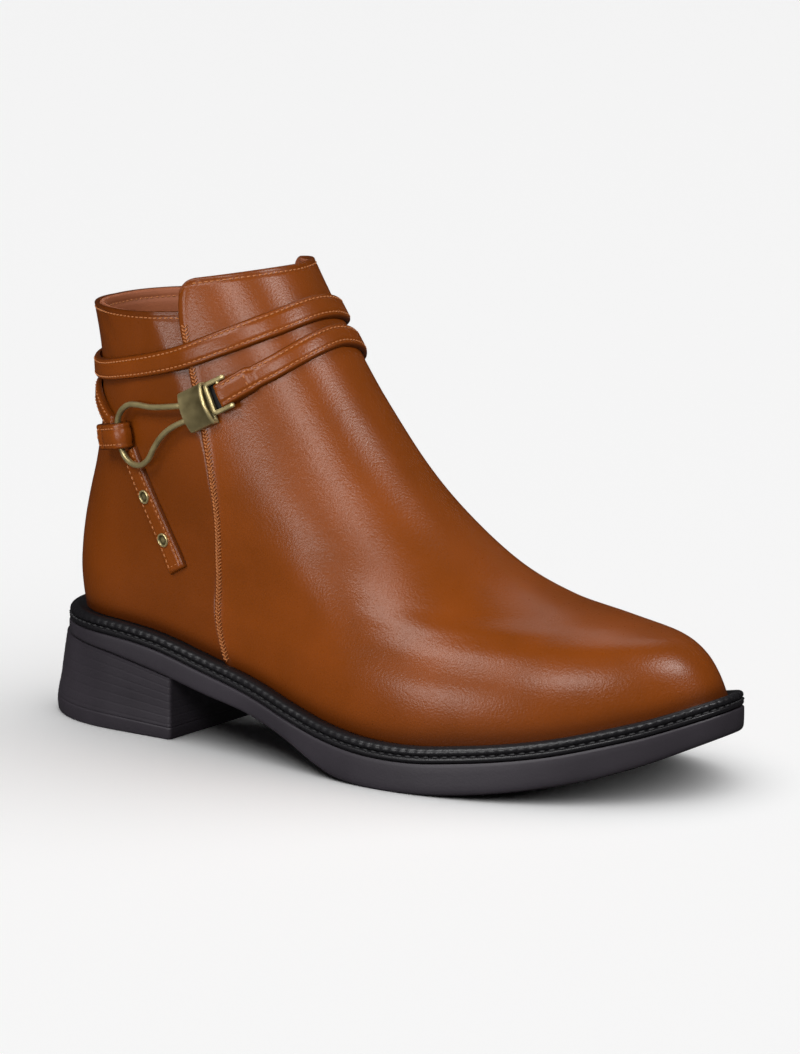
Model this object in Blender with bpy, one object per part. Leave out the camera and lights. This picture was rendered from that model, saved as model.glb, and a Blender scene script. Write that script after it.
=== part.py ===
"""Ankle boot for the right foot, with a buckled strap outside and a zip inside.

The boot stands on its heel and forefoot. Its toe points along +X, its inner
side faces +Y and +Z is up. Every surface of the upper comes from one function
of two numbers: the rise from the sole to the collar, and the turn round the
foot, which is 0 at the toe, positive on the inner side and 180 degrees at the
heel. Sizes are in millimetres and are turned into metres as meshes are made.
"""

import math

import bmesh
import bpy
import numpy as np

MM = 0.001
GAP = 0.3
WALL = 2.0
LAP = 0.8
TOE_IN = 18.0
TOE_IN_FROM = 0.45

# The last: a row for each section, from the sole's edge up to the collar
SECTION_COLUMNS = ("rise", "back_x", "back_z", "front_x", "front_z", "outer_half", "inner_half", "foot_share")
SECTIONS = np.array([
    (0.00, 8.0, 39.5, 254.8, 31.0, 43.7, 42.0, 1.00),
    (0.06, 7.2, 46.0, 251.9, 37.5, 44.6, 42.5, 1.00),
    (0.13, 6.3, 53.5, 247.6, 44.0, 44.0, 41.5, 0.95),
    (0.21, 6.0, 62.0, 240.2, 49.4, 41.5, 39.0, 0.85),
    (0.30, 6.7, 72.0, 226.6, 52.7, 38.5, 36.5, 0.65),
    (0.39, 8.7, 82.0, 207.2, 56.4, 36.5, 35.0, 0.40),
    (0.48, 11.5, 92.0, 185.6, 65.0, 35.5, 34.0, 0.20),
    (0.57, 14.1, 103.0, 164.3, 80.0, 35.0, 33.5, 0.05),
    (0.66, 15.9, 114.0, 144.6, 99.1, 34.5, 33.0, 0.00),
    (0.75, 16.8, 126.0, 127.9, 119.6, 34.0, 32.5, 0.00),
    (0.84, 16.2, 138.0, 114.1, 138.8, 34.0, 32.5, 0.00),
    (0.92, 14.8, 148.0, 103.0, 154.7, 34.2, 33.0, 0.00),
    (1.00, 13.2, 157.0, 95.4, 166.6, 34.5, 33.5, 0.00),
])
OVAL_POWER = 2.1
SAG_TOP = 0.6
SAG_POWER = 1.5

# The foot's outline, by share of its length from the heel
OUTLINE_COLUMNS = ("share", "outer_half", "inner_half")
OUTLINE = np.array([
    (0.00, 27.0, 27.0),
    (0.06, 28.2, 28.2),
    (0.14, 29.2, 29.2),
    (0.24, 29.9, 28.0),
    (0.36, 31.9, 25.5),
    (0.48, 36.7, 26.5),
    (0.60, 42.7, 33.5),
    (0.68, 43.9, 39.5),
    (0.76, 42.0, 42.0),
    (0.84, 37.5, 40.5),
    (0.91, 33.3, 37.0),
    (0.96, 30.1, 34.0),
    (1.00, 27.0, 31.0),
])
HEEL_ROUND = 0.115
TOE_ROUND = 0.20
TOE_POWER = 2.3
TOE_ROOT = 2.1

# The sole's side, by share of the foot's length
SOLE_COLUMNS = ("share", "feather_z", "outsole_bottom_z")
SOLE = np.array([
    (0.00, 39.5, 30.2),
    (0.10, 39.5, 28.9),
    (0.20, 37.2, 24.6),
    (0.30, 31.7, 19.2),
    (0.40, 26.2, 14.6),
    (0.46, 21.9, 9.8),
    (0.51, 18.7, 4.2),
    (0.55, 17.0, 1.1),
    (0.59, 15.9, 0.0),
    (0.68, 15.6, 0.0),
    (0.74, 17.0, 1.2),
    (0.80, 18.8, 3.2),
    (0.86, 21.3, 6.0),
    (0.92, 24.9, 9.8),
    (0.96, 27.6, 13.3),
    (1.00, 31.0, 17.6),
])
RING_POINTS = 64

# Places along the upper, each by its rise
SEAM_COLUMNS = ("rise", "x")
SEAM = np.array([
    (0.00, 88.0),
    (0.10, 85.0),
    (0.30, 84.5),
    (0.54, 85.7),
    (0.68, 81.5),
    (0.80, 75.5),
    (0.91, 71.0),
    (1.00, 71.5),
])
ZIP_COLUMNS = ("rise", "x")
ZIP = np.array([
    (0.00, 105.0),
    (0.18, 103.4),
    (0.40, 97.5),
    (0.60, 91.0),
    (0.75, 82.0),
    (0.91, 73.0),
    (1.00, 69.0),
])
ZIP_END = 0.185
ZIP_SLOT_HALF = 3.2
EDGE_HALF = 0.3
CORNER_STEPS = (0.3, 1.2, 2.8, 5.0, 8.0)
CORNER_RADIUS = 5.0
RISE_PER_MM = 0.0074
COLLAR_REAR = 0.910
COLLAR_HEEL_LIFT = 0.02
COLLAR_PANEL = 0.980
COLLAR_FRONT_LIFT = 0.013
COLLAR_FADE = 0.80

OUTER = -1
INNER = 1


def curve_through(knots, values, at):
    """A smooth curve through values at the knots, carried on straight past both ends."""
    steps = np.diff(knots)
    slopes = np.diff(values) / steps
    tangents = np.empty(len(values))
    tangents[1:-1] = (slopes[:-1] * steps[1:] + slopes[1:] * steps[:-1]) / (steps[1:] + steps[:-1])
    tangents[0] = 1.5 * slopes[0] - 0.5 * tangents[1]
    tangents[-1] = 1.5 * slopes[-1] - 0.5 * tangents[-2]
    inside = np.clip(at, knots[0], knots[-1])
    i = np.clip(np.searchsorted(knots, inside, side="right") - 1, 0, len(knots) - 2)
    t = (inside - knots[i]) / steps[i]
    bends = (2 * t**3 - 3 * t**2 + 1) * values[i] + (3 * t**2 - 2 * t**3) * values[i + 1]
    leans = (t**3 - 2 * t**2 + t) * tangents[i] + (t**3 - t**2) * tangents[i + 1]
    beyond = np.where(at < knots[0], tangents[0], tangents[-1]) * (at - inside)
    return bends + leans * steps[i] + beyond


def column(table, names, name, at):
    """One named column of a table, read at places along its first column."""
    return curve_through(table[:, 0], table[:, names.index(name)], np.asarray(at, float))


def section(name, rise):
    return column(SECTIONS, SECTION_COLUMNS, name, rise)


def toe_in(x):
    """How far the foot's middle line leans to the inner side at a place along it."""
    share = (x - SECTIONS[0, 1]) / (SECTIONS[0, 3] - SECTIONS[0, 1])
    return TOE_IN * np.clip((share - TOE_IN_FROM) / (1 - TOE_IN_FROM), 0, 1.2)**1.5


def outline_half(share, side):
    """Half width of the foot's outline, rounded in at the heel and the toe."""
    half = column(OUTLINE, OUTLINE_COLUMNS, "outer_half" if side == OUTER else "inner_half", share)
    heel = np.sqrt(1 - np.clip(1 - share / HEEL_ROUND, 0, 1)**2)
    toe = np.clip((share - 1 + TOE_ROUND) / TOE_ROUND, 0, 1)
    return half * heel * (1 - toe**TOE_POWER)**(1 / TOE_ROOT)


def outline_share(share, side):
    """The outline's half width as a share of its widest place."""
    return outline_half(share, side) / outline_half(np.linspace(0, 1, 201), side).max()


def last_point(rise, turn):
    """The last's surface: a ring at each rise, foot shaped below and oval at the shaft."""
    rise, turn = np.broadcast_arrays(np.asarray(rise, float), np.asarray(turn, float))
    share = 0.5 * (1 + np.cos(turn))
    outer = np.sin(turn) < 0
    oval = (1 - np.abs(np.cos(turn))**OVAL_POWER)**(1 / OVAL_POWER)
    foot = np.where(outer, outline_share(share, OUTER), outline_share(share, INNER))
    half = np.where(outer, section("outer_half", rise), section("inner_half", rise))
    foot_share = np.clip(section("foot_share", rise), 0, 1)
    y = half * (foot_share * foot + (1 - foot_share) * oval)
    x = section("back_x", rise) * (1 - share) + section("front_x", rise) * share
    z = section("back_z", rise) * (1 - share) + section("front_z", rise) * share
    level = SECTIONS[0, 2] * (1 - share) + SECTIONS[0, 4] * share
    sag = column(SOLE, SOLE_COLUMNS, "feather_z", share) - level
    z = z + sag * np.clip(1 - rise / SAG_TOP, 0, 1)**SAG_POWER
    return np.stack([x, np.where(outer, -y, y) + toe_in(x), z], axis=-1)


def last_normal(rise, turn):
    """The outward direction of the last's surface, from two short steps on it."""
    step = 0.002
    across = last_point(rise, turn + step) - last_point(rise, turn - step)
    up = last_point(np.minimum(rise + step, 1), turn) - last_point(np.maximum(rise - step, 0), turn)
    normal = np.cross(across, up)
    return normal / np.linalg.norm(normal, axis=-1, keepdims=True)


def turn_at(rise, x, side):
    """The turn at which a ring passes a place along the foot, on one side."""
    back_x = section("back_x", rise)
    share = np.clip((x - back_x) / (section("front_x", rise) - back_x), 0, 1)
    return side * np.arccos(2 * share - 1)


def unit(vectors):
    return vectors / np.linalg.norm(vectors, axis=-1, keepdims=True)


def quads_between(first, second):
    """Faces between two rows of point numbers of the same length."""
    return np.stack([first[:-1], first[1:], second[1:], second[:-1]], axis=-1).reshape(-1, 4)


def add_solid(name, points, faces, material):
    """One closed mesh object from points in millimetres and its faces."""
    mesh = bpy.data.meshes.new(name)
    mesh.from_pydata((np.asarray(points).reshape(-1, 3) * MM).tolist(), [], [list(face) for face in faces])
    work = bmesh.new()
    work.from_mesh(mesh)
    bmesh.ops.dissolve_degenerate(work, dist=1e-7, edges=work.edges)
    bmesh.ops.remove_doubles(work, verts=work.verts, dist=1e-7)
    bmesh.ops.triangulate(work, faces=work.faces)
    bmesh.ops.recalc_face_normals(work, faces=work.faces)
    work.to_mesh(mesh)
    work.free()
    mesh.materials.append(material)
    mesh.shade_smooth()
    mesh.set_sharp_from_angle(angle=math.radians(40))
    solid = bpy.data.objects.new(name, mesh)
    bpy.context.scene.collection.objects.link(solid)
    return solid


def finish(name, colour, roughness, metallic=0.0):
    """A plain surface finish with the piece's own colour."""
    material = bpy.data.materials.new(name)
    material.use_nodes = True
    shader = material.node_tree.nodes["Principled BSDF"]
    shader.inputs["Base Color"].default_value = (*colour, 1.0)
    shader.inputs["Roughness"].default_value = roughness
    shader.inputs["Metallic"].default_value = metallic
    return material


def ladder(ring, flipped):
    """Faces that close a ring across the foot, from each point to its partner opposite."""
    count = len(ring)
    half = count // 2
    rungs = []
    for j in range(half):
        face = [ring[j], ring[j + 1], ring[(count - j - 1) % count], ring[(count - j) % count]]
        rungs.append(list(dict.fromkeys(face)))
    return [face[::-1] for face in rungs] if flipped else rungs


def stacked_rings(name, rings, material):
    """A solid between a stack of rings, lowest first, closed across at both ends."""
    rings = np.asarray(rings)
    count = rings.shape[1]
    numbers = np.arange(rings.shape[0] * count).reshape(rings.shape[:2])
    closed = np.concatenate([numbers, numbers[:, :1]], axis=1)
    faces = []
    for lower, upper in zip(closed[:-1], closed[1:]):
        faces.extend(quads_between(lower, upper).tolist())
    faces.extend(ladder(numbers[0].tolist(), True))
    faces.extend(ladder(numbers[-1].tolist(), False))
    return add_solid(name, rings, faces, material)


def ring_turns():
    return np.arange(RING_POINTS) * 2 * math.pi / RING_POINTS


def sole_plan(offset):
    """The foot's outline in plan, moved out by an offset square to itself."""
    turn = ring_turns()
    step = 1e-3
    along = last_point(0.0, turn + step)[:, :2] - last_point(0.0, turn - step)[:, :2]
    outward = unit(np.stack([along[:, 1], -along[:, 0]], axis=-1))
    return last_point(0.0, turn)[:, :2] + outward * offset


def sole_share(x):
    return (x - SECTIONS[0, 1]) / (SECTIONS[0, 3] - SECTIONS[0, 1])


def sole_ring(offset, column_name, lift):
    """A ring of the sole at an offset from the foot's outline, on one of the side's lines."""
    plan = sole_plan(offset)
    height = column(SOLE, SOLE_COLUMNS, column_name, sole_share(plan[:, 0])) + lift
    return np.column_stack([plan, np.maximum(height, 0.0)])


def wall_columns(rise):
    """Turns and wall lifts of the upper's columns, from the zip's front edge round to its rear edge.

    Columns follow the zip's edges and the lapped seam. The front panel stands proud of the
    rear quarter by the lap, and its two rounded corners have columns of their own.
    """
    zip_x = column(ZIP, ZIP_COLUMNS, "x", rise)
    seam_x = column(SEAM, SEAM_COLUMNS, "x", rise)
    inner = [turn_at(rise, zip_x + ZIP_SLOT_HALF + step, INNER) for step in (0.0,) + CORNER_STEPS[1:]]
    outer = [turn_at(rise, seam_x + step, OUTER) for step in CORNER_STEPS]
    rear_edge = turn_at(rise, seam_x - EDGE_HALF, OUTER)
    zip_rear = turn_at(rise, zip_x - ZIP_SLOT_HALF, INNER) - 2 * math.pi
    zip_front = inner[0] - 2 * math.pi
    front = np.zeros_like(rise)
    heel = np.full_like(rise, -math.pi)
    turns = inner
    turns = turns + spread(inner[-1], front, 12)
    turns = turns + spread(front, outer[-1], 13)
    turns = turns + outer[-2::-1]
    panel_columns = len(turns)
    turns = turns + [rear_edge]
    turns = turns + spread(rear_edge, heel, 12)
    turns = turns + spread(heel, zip_rear, 12)
    slot_start = len(turns) - 1
    turns = turns + spread(zip_rear, zip_front, 3)[:-1]
    lifts = np.full(len(turns), -0.5 * LAP)
    lifts[:panel_columns] = 0.5 * LAP
    lifts[slot_start:] = np.linspace(-0.5, 0.5, len(turns) - slot_start + 1)[:-1] * LAP
    return np.stack(turns, axis=-1), lifts, panel_columns, slot_start


def spread(start, end, count):
    """Evenly spaced columns after start, up to and with end."""
    return [start + (end - start) * k / count for k in range(1, count + 1)]


def collar_rise(turn, panel_columns):
    """How high each column reaches: low at the rear quarter, high and round cornered at the panel."""
    top = COLLAR_REAR + COLLAR_HEEL_LIFT * np.clip(-np.cos(turn), 0, 1)**2
    panel = COLLAR_PANEL + COLLAR_FRONT_LIFT * np.clip(np.cos(turn), 0, 1)
    top[:panel_columns] = panel[:panel_columns]
    inset = np.minimum(np.array(CORNER_STEPS), CORNER_RADIUS)
    drop = CORNER_RADIUS - np.sqrt(CORNER_RADIUS**2 - (CORNER_RADIUS - inset)**2)
    corner = len(CORNER_STEPS)
    top[:corner] -= drop * RISE_PER_MM
    top[panel_columns - corner:panel_columns] -= drop[::-1] * RISE_PER_MM
    return top


def make_upper(material):
    """The upper: an outer and an inner skin joined at the collar, the sole and the zip's slot."""
    rows = np.concatenate([
        np.array([0.0, 0.03, 0.065, 0.10, 0.14, ZIP_END]),
        np.linspace(0.23, COLLAR_FADE, 13),
        np.linspace(COLLAR_FADE, 1.0, 6)[1:],
    ])
    collar_turn, lifts, panel_columns, slot_start = wall_columns(np.array(0.95))
    top = collar_rise(collar_turn, panel_columns)
    above = np.clip(rows - COLLAR_FADE, 0, None)[:, None] / (1 - COLLAR_FADE)
    rise = np.minimum(rows, COLLAR_FADE)[:, None] + above * (top - COLLAR_FADE)
    turn = np.stack([wall_columns(rise[:, j])[0][:, j] for j in range(len(top))], axis=-1)
    surface = last_point(rise, turn)
    normal = last_normal(rise, turn)
    normal[0, :, 2] = 0.0
    normal = unit(normal)
    outside = surface + normal * lifts[:, None]
    inside = outside - normal * WALL
    outside_numbers = np.arange(rise.size).reshape(rise.shape)
    inside_numbers = outside_numbers + rise.size
    slot_row = int(np.argmin(np.abs(rows - ZIP_END)))
    count = len(top)
    faces = []
    for row in range(len(rows) - 1):
        last = count if row < slot_row else slot_start
        around = np.arange(last + 1) % count
        faces.extend(quads_between(outside_numbers[row, around], outside_numbers[row + 1, around]).tolist())
        faces.extend(quads_between(inside_numbers[row + 1, around], inside_numbers[row, around]).tolist())
    around = np.arange(count + 1) % count
    collar = np.arange(slot_start + 1)
    slot = np.arange(slot_start, count + 1) % count
    edges = [
        (inside_numbers[0, around], outside_numbers[0, around]),
        (outside_numbers[-1, collar], inside_numbers[-1, collar]),
        (outside_numbers[slot_row, slot], inside_numbers[slot_row, slot]),
        (outside_numbers[slot_row:, slot_start], inside_numbers[slot_row:, slot_start]),
        (inside_numbers[slot_row:, 0], outside_numbers[slot_row:, 0]),
    ]
    for first, second in edges:
        faces.extend(quads_between(first, second).tolist())
    points = np.concatenate([outside.reshape(-1, 3), inside.reshape(-1, 3)])
    return add_solid("upper", points, faces, material)


# Sole pieces
INSOLE_THICK = 2.5
# Welt rings, lowest first: offset from the foot's outline, drop under the feather line
WELT_TABLE = ((5.1, 4.8), (5.7, 4.0), (5.7, 3.2), (5.1, 2.5), (5.6, 1.8), (5.5, 1.0), (4.9, 0.3))
# Outsole rings, lowest first: offset from the foot's outline, share of the way up to the welt
OUTSOLE_TABLE = ((4.6, 0.0), (5.6, 0.09), (5.9, 0.55), (5.9, 0.9), (5.5, 1.0))
WELT_BOTTOM = 4.8


def make_insole(material):
    offset = -WALL - LAP - GAP
    lower = sole_ring(offset, "feather_z", GAP)
    upper = sole_ring(offset, "feather_z", GAP + INSOLE_THICK)
    return stacked_rings("insole", [lower, upper], material)


def make_welt(material):
    """The welt's plate: two rounded beads with a groove between them round its edge."""
    rings = [sole_ring(offset, "feather_z", -drop) for offset, drop in WELT_TABLE]
    return stacked_rings("welt", rings, material)


def make_outsole(material):
    """The outsole: floor line with arch and toe spring below, the welt's underside above."""
    rings = []
    for offset, share_up in OUTSOLE_TABLE:
        lower = sole_ring(offset, "outsole_bottom_z", 0.0)
        upper = sole_ring(offset, "feather_z", -WELT_BOTTOM - GAP)
        rings.append(lower + (upper - lower) * np.array([0, 0, share_up]))
    return stacked_rings("outsole", rings, material)


# Heel rings, lowest first: share of the height, back x, breast x, half width
HEEL = ((0.0, -4.2, 64.8, 32.6), (0.03, -4.8, 65.2, 33.2), (0.5, -2.2, 66.0, 34.0), (1.0, 1.4, 66.8, 34.9))
HEEL_POINTS = 24
HEEL_POWER = 2.1
HEEL_ROUND_LENGTH = 0.62


def heel_plan(back_x, breast_x, half):
    """The heel in plan: straight across its breast, straight sides, a rounded back."""
    angle = np.linspace(0, math.pi / 2, HEEL_POINTS // 2 + 1)
    round_x = (breast_x - back_x) * HEEL_ROUND_LENGTH
    x = back_x + round_x * (1 - np.cos(angle)**(2 / HEEL_POWER))
    y = half * np.sin(angle)**(2 / HEEL_POWER)
    side_x = np.append(x, breast_x)
    side_y = np.append(y, half)
    ring_x = np.concatenate([side_x[::-1], side_x[1:]])
    ring_y = np.concatenate([side_y[::-1], -side_y[1:]])
    return ring_x, ring_y


def make_heel(material):
    rings = []
    for height_share, back_x, breast_x, half in HEEL:
        x, y = heel_plan(back_x, breast_x, half)
        seat = column(SOLE, SOLE_COLUMNS, "outsole_bottom_z", np.maximum(sole_share(x), 0.0)) - GAP
        rings.append(np.column_stack([x, y, seat * height_share]))
    rings = np.asarray(rings)
    count = rings.shape[1]
    numbers = np.arange(rings.shape[0] * count).reshape(rings.shape[:2])
    faces = []
    for lower, upper in zip(numbers[:-1], numbers[1:]):
        faces.extend(quads_between(np.append(lower, lower[0]), np.append(upper, upper[0])).tolist())
    half = count // 2
    for ring, flipped in ((numbers[0], True), (numbers[-1], False)):
        for j in range(half):
            face = list(dict.fromkeys([ring[j], ring[j + 1], ring[count - 2 - j], ring[count - 1 - j]]))
            faces.append(face[::-1] if flipped else face)
    return add_solid("heel", rings, faces, material)


# Straps: centre lines by turn round the shaft, in degrees, and height
STRAP_COLUMNS = ("turn", "z")
STRAP_UPPER = np.array([
    (-277, 136.0),
    (-225, 131.5),
    (-180, 128.2),
    (-137, 126.5),
    (-115, 129.3),
    (-83, 135.2),
    (-63, 140.4),
    (-36, 146.5),
    (0, 150.9),
    (36, 146.5),
    (71, 138.8),
])
STRAP_LOWER_FRONT = np.array([
    (-70, 123.6),
    (-55, 129.5),
    (-45, 132.6),
    (-30, 136.9),
    (-12, 140.5),
    (0, 141.5),
    (12, 140.5),
    (30, 136.9),
    (45, 132.8),
    (73, 128.4),
])
STRAP_LOWER_BACK = np.array([
    (-275, 126.6),
    (-225, 122.2),
    (-180, 119.6),
    (-165, 118.4),
    (-153, 115.6),
    (-141, 110.6),
])
STRAP_UPPER_WIDE = 8.6
STRAP_LOWER_WIDE = 7.4
STRAP_THICK = 2.2
STRAP_CLEAR = 0.4
STRAP_STEP = 6.0
# A strap's section: share of its width across, share of its thickness
STRAP_PROFILE = np.array([
    (-0.5, 0.0),
    (0.0, 0.0),
    (0.5, 0.0),
    (0.5, 0.7),
    (0.34, 1.0),
    (-0.34, 1.0),
    (-0.5, 0.7),
])
SEAM_RAMP = 6.0

TAIL_TOP = np.array([45.7, 100.0])
TAIL_END = np.array([67.2, 60.0])
TAIL_WIDE = 8.0
TAIL_THICK = 2.0
TAIL_STATIONS = 12
RIVET_PLACES = (0.38, 0.74)
# Rivet rings, lowest first: radius, height
RIVET_PROFILE = ((1.5, 0.0), (1.9, 0.3), (1.7, 0.8), (0.9, 1.15))
RIVET_POINTS = 12


def rise_where(height_at, z):
    """The rise at which a height, which grows with the rise, reaches z; found by halving."""
    low = np.zeros(np.shape(z))
    high = np.ones(np.shape(z))
    for _ in range(40):
        middle = 0.5 * (low + high)
        under = height_at(middle) < z
        low = np.where(under, middle, low)
        high = np.where(under, high, middle)
    return 0.5 * (low + high)


def rise_at(turn, z):
    """The rise at which the last reaches a height, at a given turn."""
    return rise_where(lambda rise: last_point(rise, turn)[..., 2], z)


def wall_place(x, z, side):
    """Rise and turn of the last's point at a place along the foot and a height."""
    x, z = np.broadcast_arrays(np.asarray(x, float), np.asarray(z, float))
    rise = rise_where(lambda at: last_point(at, turn_at(at, x, side))[..., 2], z)
    return rise, turn_at(rise, x, side)


def lifted(rise, turn, lift):
    """Points at a lift off the last, square to its surface."""
    return last_point(rise, turn) + last_normal(rise, turn) * np.asarray(lift)[..., None]


def wall_lift(rise, turn):
    """The wall's outer lift, with a ramp where a strap climbs from the quarter on to the panel."""
    x = last_point(rise, turn)[..., 0]
    seam = np.clip((x - column(SEAM, SEAM_COLUMNS, "x", rise)) / SEAM_RAMP + 1, 0, 1)
    panel = np.where(x > column(ZIP, ZIP_COLUMNS, "x", rise), 1.0, 0.0)
    return LAP * (np.where(np.sin(turn) < 0, seam, panel) - 0.5)


def sewn_shut(name, sections, material):
    """A solid from closed sections of the same point count, with a flat face at both ends."""
    count = sections.shape[1]
    numbers = np.arange(sections.shape[0] * count).reshape(sections.shape[:2])
    closed = np.concatenate([numbers, numbers[:, :1]], axis=1)
    faces = [numbers[0].tolist()[::-1], numbers[-1].tolist()]
    for first, second in zip(closed[:-1], closed[1:]):
        faces.extend(quads_between(first, second).tolist())
    return add_solid(name, sections, faces, material)


def strap_solid(name, rise, turn, thick, material):
    """A strap from the places of its profile's points at every station."""
    base = wall_lift(rise, turn) + STRAP_CLEAR
    return sewn_shut(name, lifted(rise, turn, base + STRAP_PROFILE[:, 1] * thick), material)


def make_wrapped_strap(name, table, wide, material):
    """A strap that follows its table of turns and heights round the shaft."""
    stations = int(round((table[-1, 0] - table[0, 0]) / STRAP_STEP)) + 1
    degrees = np.linspace(table[0, 0], table[-1, 0], stations)
    middle = column(table, STRAP_COLUMNS, "z", degrees)
    turn = np.radians(degrees)[:, None] + np.zeros(len(STRAP_PROFILE))
    height = middle[:, None] + STRAP_PROFILE[:, 0] * wide
    return strap_solid(name, rise_at(turn, height), turn, STRAP_THICK, material)


def tail_place(share, across):
    """Rise and turn of a place on the hanging strap end, by share of its length and distance across."""
    along = unit(TAIL_END - TAIL_TOP)
    x = TAIL_TOP[0] + (TAIL_END - TAIL_TOP)[0] * share - along[1] * across
    z = TAIL_TOP[1] + (TAIL_END - TAIL_TOP)[1] * share + along[0] * across
    return wall_place(x, z, OUTER)


def make_tail(material):
    share = np.linspace(0, 1, TAIL_STATIONS)[:, None]
    rise, turn = tail_place(share, STRAP_PROFILE[:, 0] * TAIL_WIDE)
    return strap_solid("strap_tail", rise, turn, TAIL_THICK, material)


def local_frame(rise, turn, lift, side):
    """A point off the wall with three directions: forward, up and outward."""
    outward = last_normal(rise, turn)
    forward = unit(np.cross(np.array([0.0, 0.0, 1.0]), outward)) * -side
    up = np.cross(outward, forward) * -side
    return lifted(rise, turn, lift), forward, up, outward


def make_rivet(number, share, material):
    """A small domed rivet through the strap's hanging end."""
    rise, turn = tail_place(np.array(share), np.array(0.0))
    lift = -0.5 * LAP + STRAP_CLEAR + TAIL_THICK + GAP
    centre, forward, up, outward = local_frame(rise, turn, lift, OUTER)
    angle = np.arange(RIVET_POINTS) * 2 * math.pi / RIVET_POINTS
    circle = np.cos(angle)[:, None] * forward + np.sin(angle)[:, None] * up
    rings = [centre + circle * radius + outward * height for radius, height in RIVET_PROFILE]
    return stacked_rings("rivet_%d" % number, rings, material)


# Buckle: an arched block over the ends of a bent wire, with two prongs that hold the front strap
BUCKLE_X = 81.6
BUCKLE_Z = 119.0
BUCKLE_TILT = math.radians(26)
BUCKLE_LIFT = 0.9
BLOCK_LONG = 9.8
BLOCK_HIGH = 14.5
BLOCK_RIM = 2.6
BLOCK_ARCH = 2.2
BLOCK_STEPS = 8
PRONG_REACH = 13.4
PRONG_HALF_GAP = 5.1
PRONG_RAISE = 0.7
PRONG_THICK = 1.8
PRONG_LIFT = 1.2
PRONG_BAR = 7.0
WIRE_RADIUS = 1.0
WIRE_LIFT = 3.4
WIRE_SIDES = 8
WIRE_STATIONS = 42
# The wire's places on the wall, from the block round the knot and back: x, z
WIRE = np.array([
    (75.2, 119.2),
    (67.5, 118.1),
    (61.7, 117.5),
    (55.1, 117.6),
    (51.2, 117.2),
    (47.6, 115.4),
    (45.0, 112.6),
    (43.9, 109.4),
    (44.6, 105.4),
    (45.3, 101.4),
    (47.8, 98.0),
    (51.9, 96.4),
    (56.0, 96.8),
    (59.6, 99.0),
    (62.6, 103.0),
    (66.2, 107.4),
    (70.6, 110.9),
    (77.6, 114.3),
])
KNOT_ENDS = WIRE[7:10:2]
KNOT_HIGH = 7.6
KNOT_POINTS = 24
KNOT_REAR = 11.5
KNOT_FRONT = 9.0
KNOT_HOLE = 1.35
KNOT_THICK = 6.2
KNOT_END_THICK = 2.4
KNOT_SPAN = math.radians(40)


def prism(name, outline, low, high, origin, axes, material):
    """An outline in the first two axes, carried along the third from low to high."""
    first, second, third = axes
    outline = np.asarray(outline)
    flat = origin + outline[:, :1] * first + outline[:, 1:] * second
    return sewn_shut(name, np.stack([flat + third * low, flat + third * high]), material)


def fuse(solid, guide, operation):
    """Join a guide to a solid, or cut it away, and keep the guide hidden."""
    boolean = solid.modifiers.new(guide.name, "BOOLEAN")
    boolean.operation = operation
    boolean.object = guide
    guide.hide_render = True
    guide.display_type = "WIRE"


def make_buckle(material):
    """The arched block with its two prongs, tilted to lie along the strap."""
    rise, turn = wall_place(BUCKLE_X, BUCKLE_Z, OUTER)
    origin, forward, up, outward = local_frame(rise, turn, BUCKLE_LIFT, OUTER)
    along = forward * math.cos(BUCKLE_TILT) + up * math.sin(BUCKLE_TILT)
    square = np.cross(outward, along)
    across = np.linspace(0.5, -0.5, BLOCK_STEPS + 1)
    crown = BLOCK_RIM + BLOCK_ARCH * (1 - (2 * across)**2)
    base = np.array([(-0.5 * BLOCK_HIGH, 0.0), (0.5 * BLOCK_HIGH, 0.0)])
    outline = np.concatenate([base, np.column_stack([across * BLOCK_HIGH, crown])])
    half = 0.5 * BLOCK_LONG
    block = prism("buckle_block", outline, -half, half, origin, (square, outward, along), material)
    inside = PRONG_HALF_GAP - 0.5 * PRONG_THICK
    outside = PRONG_HALF_GAP + 0.5 * PRONG_THICK
    bracket = np.array([
        (0.0, -outside),
        (PRONG_REACH, -outside),
        (PRONG_REACH, -inside),
        (PRONG_BAR, -inside),
        (PRONG_BAR, inside),
        (PRONG_REACH, inside),
        (PRONG_REACH, outside),
        (0.0, outside),
    ]) + (0.0, PRONG_RAISE)
    prongs = prism("prong_guide", bracket, PRONG_LIFT, PRONG_LIFT + PRONG_THICK, origin,
                   (along, square, outward), material)
    fuse(block, prongs, "UNION")
    return block, prongs


def make_wire(material):
    """The bent wire: a round bar over the wall through its table's places."""
    chord = np.append(0.0, np.cumsum(np.linalg.norm(np.diff(WIRE, axis=0), axis=1)))
    along = np.linspace(0, chord[-1], WIRE_STATIONS)
    x = curve_through(chord, WIRE[:, 0], along)
    z = curve_through(chord, WIRE[:, 1], along)
    rise, turn = wall_place(x, z, OUTER)
    path = lifted(rise, turn, np.full(WIRE_STATIONS, WIRE_LIFT))
    ahead = unit(np.gradient(path, axis=0))
    outward = last_normal(rise, turn)
    outward = unit(outward - ahead * np.sum(outward * ahead, axis=-1, keepdims=True))
    beside = np.cross(ahead, outward)
    angle = np.arange(WIRE_SIDES)[:, None] * 2 * math.pi / WIRE_SIDES
    circle = np.cos(angle) * outward[:, None] + np.sin(angle) * beside[:, None]
    return sewn_shut("buckle_wire", path[:, None] + WIRE_RADIUS * circle, material)


def knot_floor(centre, along, outward, across):
    """The height of the wall's clearance line under the knot, at distances along it."""
    x, z = KNOT_ENDS.mean(axis=0)
    rise, turn = wall_place(x, z, OUTER)
    nearby = turn + np.linspace(-KNOT_SPAN, KNOT_SPAN, 41)
    wall = lifted(rise_at(nearby, np.full(nearby.shape, z)), nearby, np.zeros(nearby.shape)) - centre
    order = np.argsort(wall @ along)
    return np.interp(across, (wall @ along)[order], (wall @ outward)[order])


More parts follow.
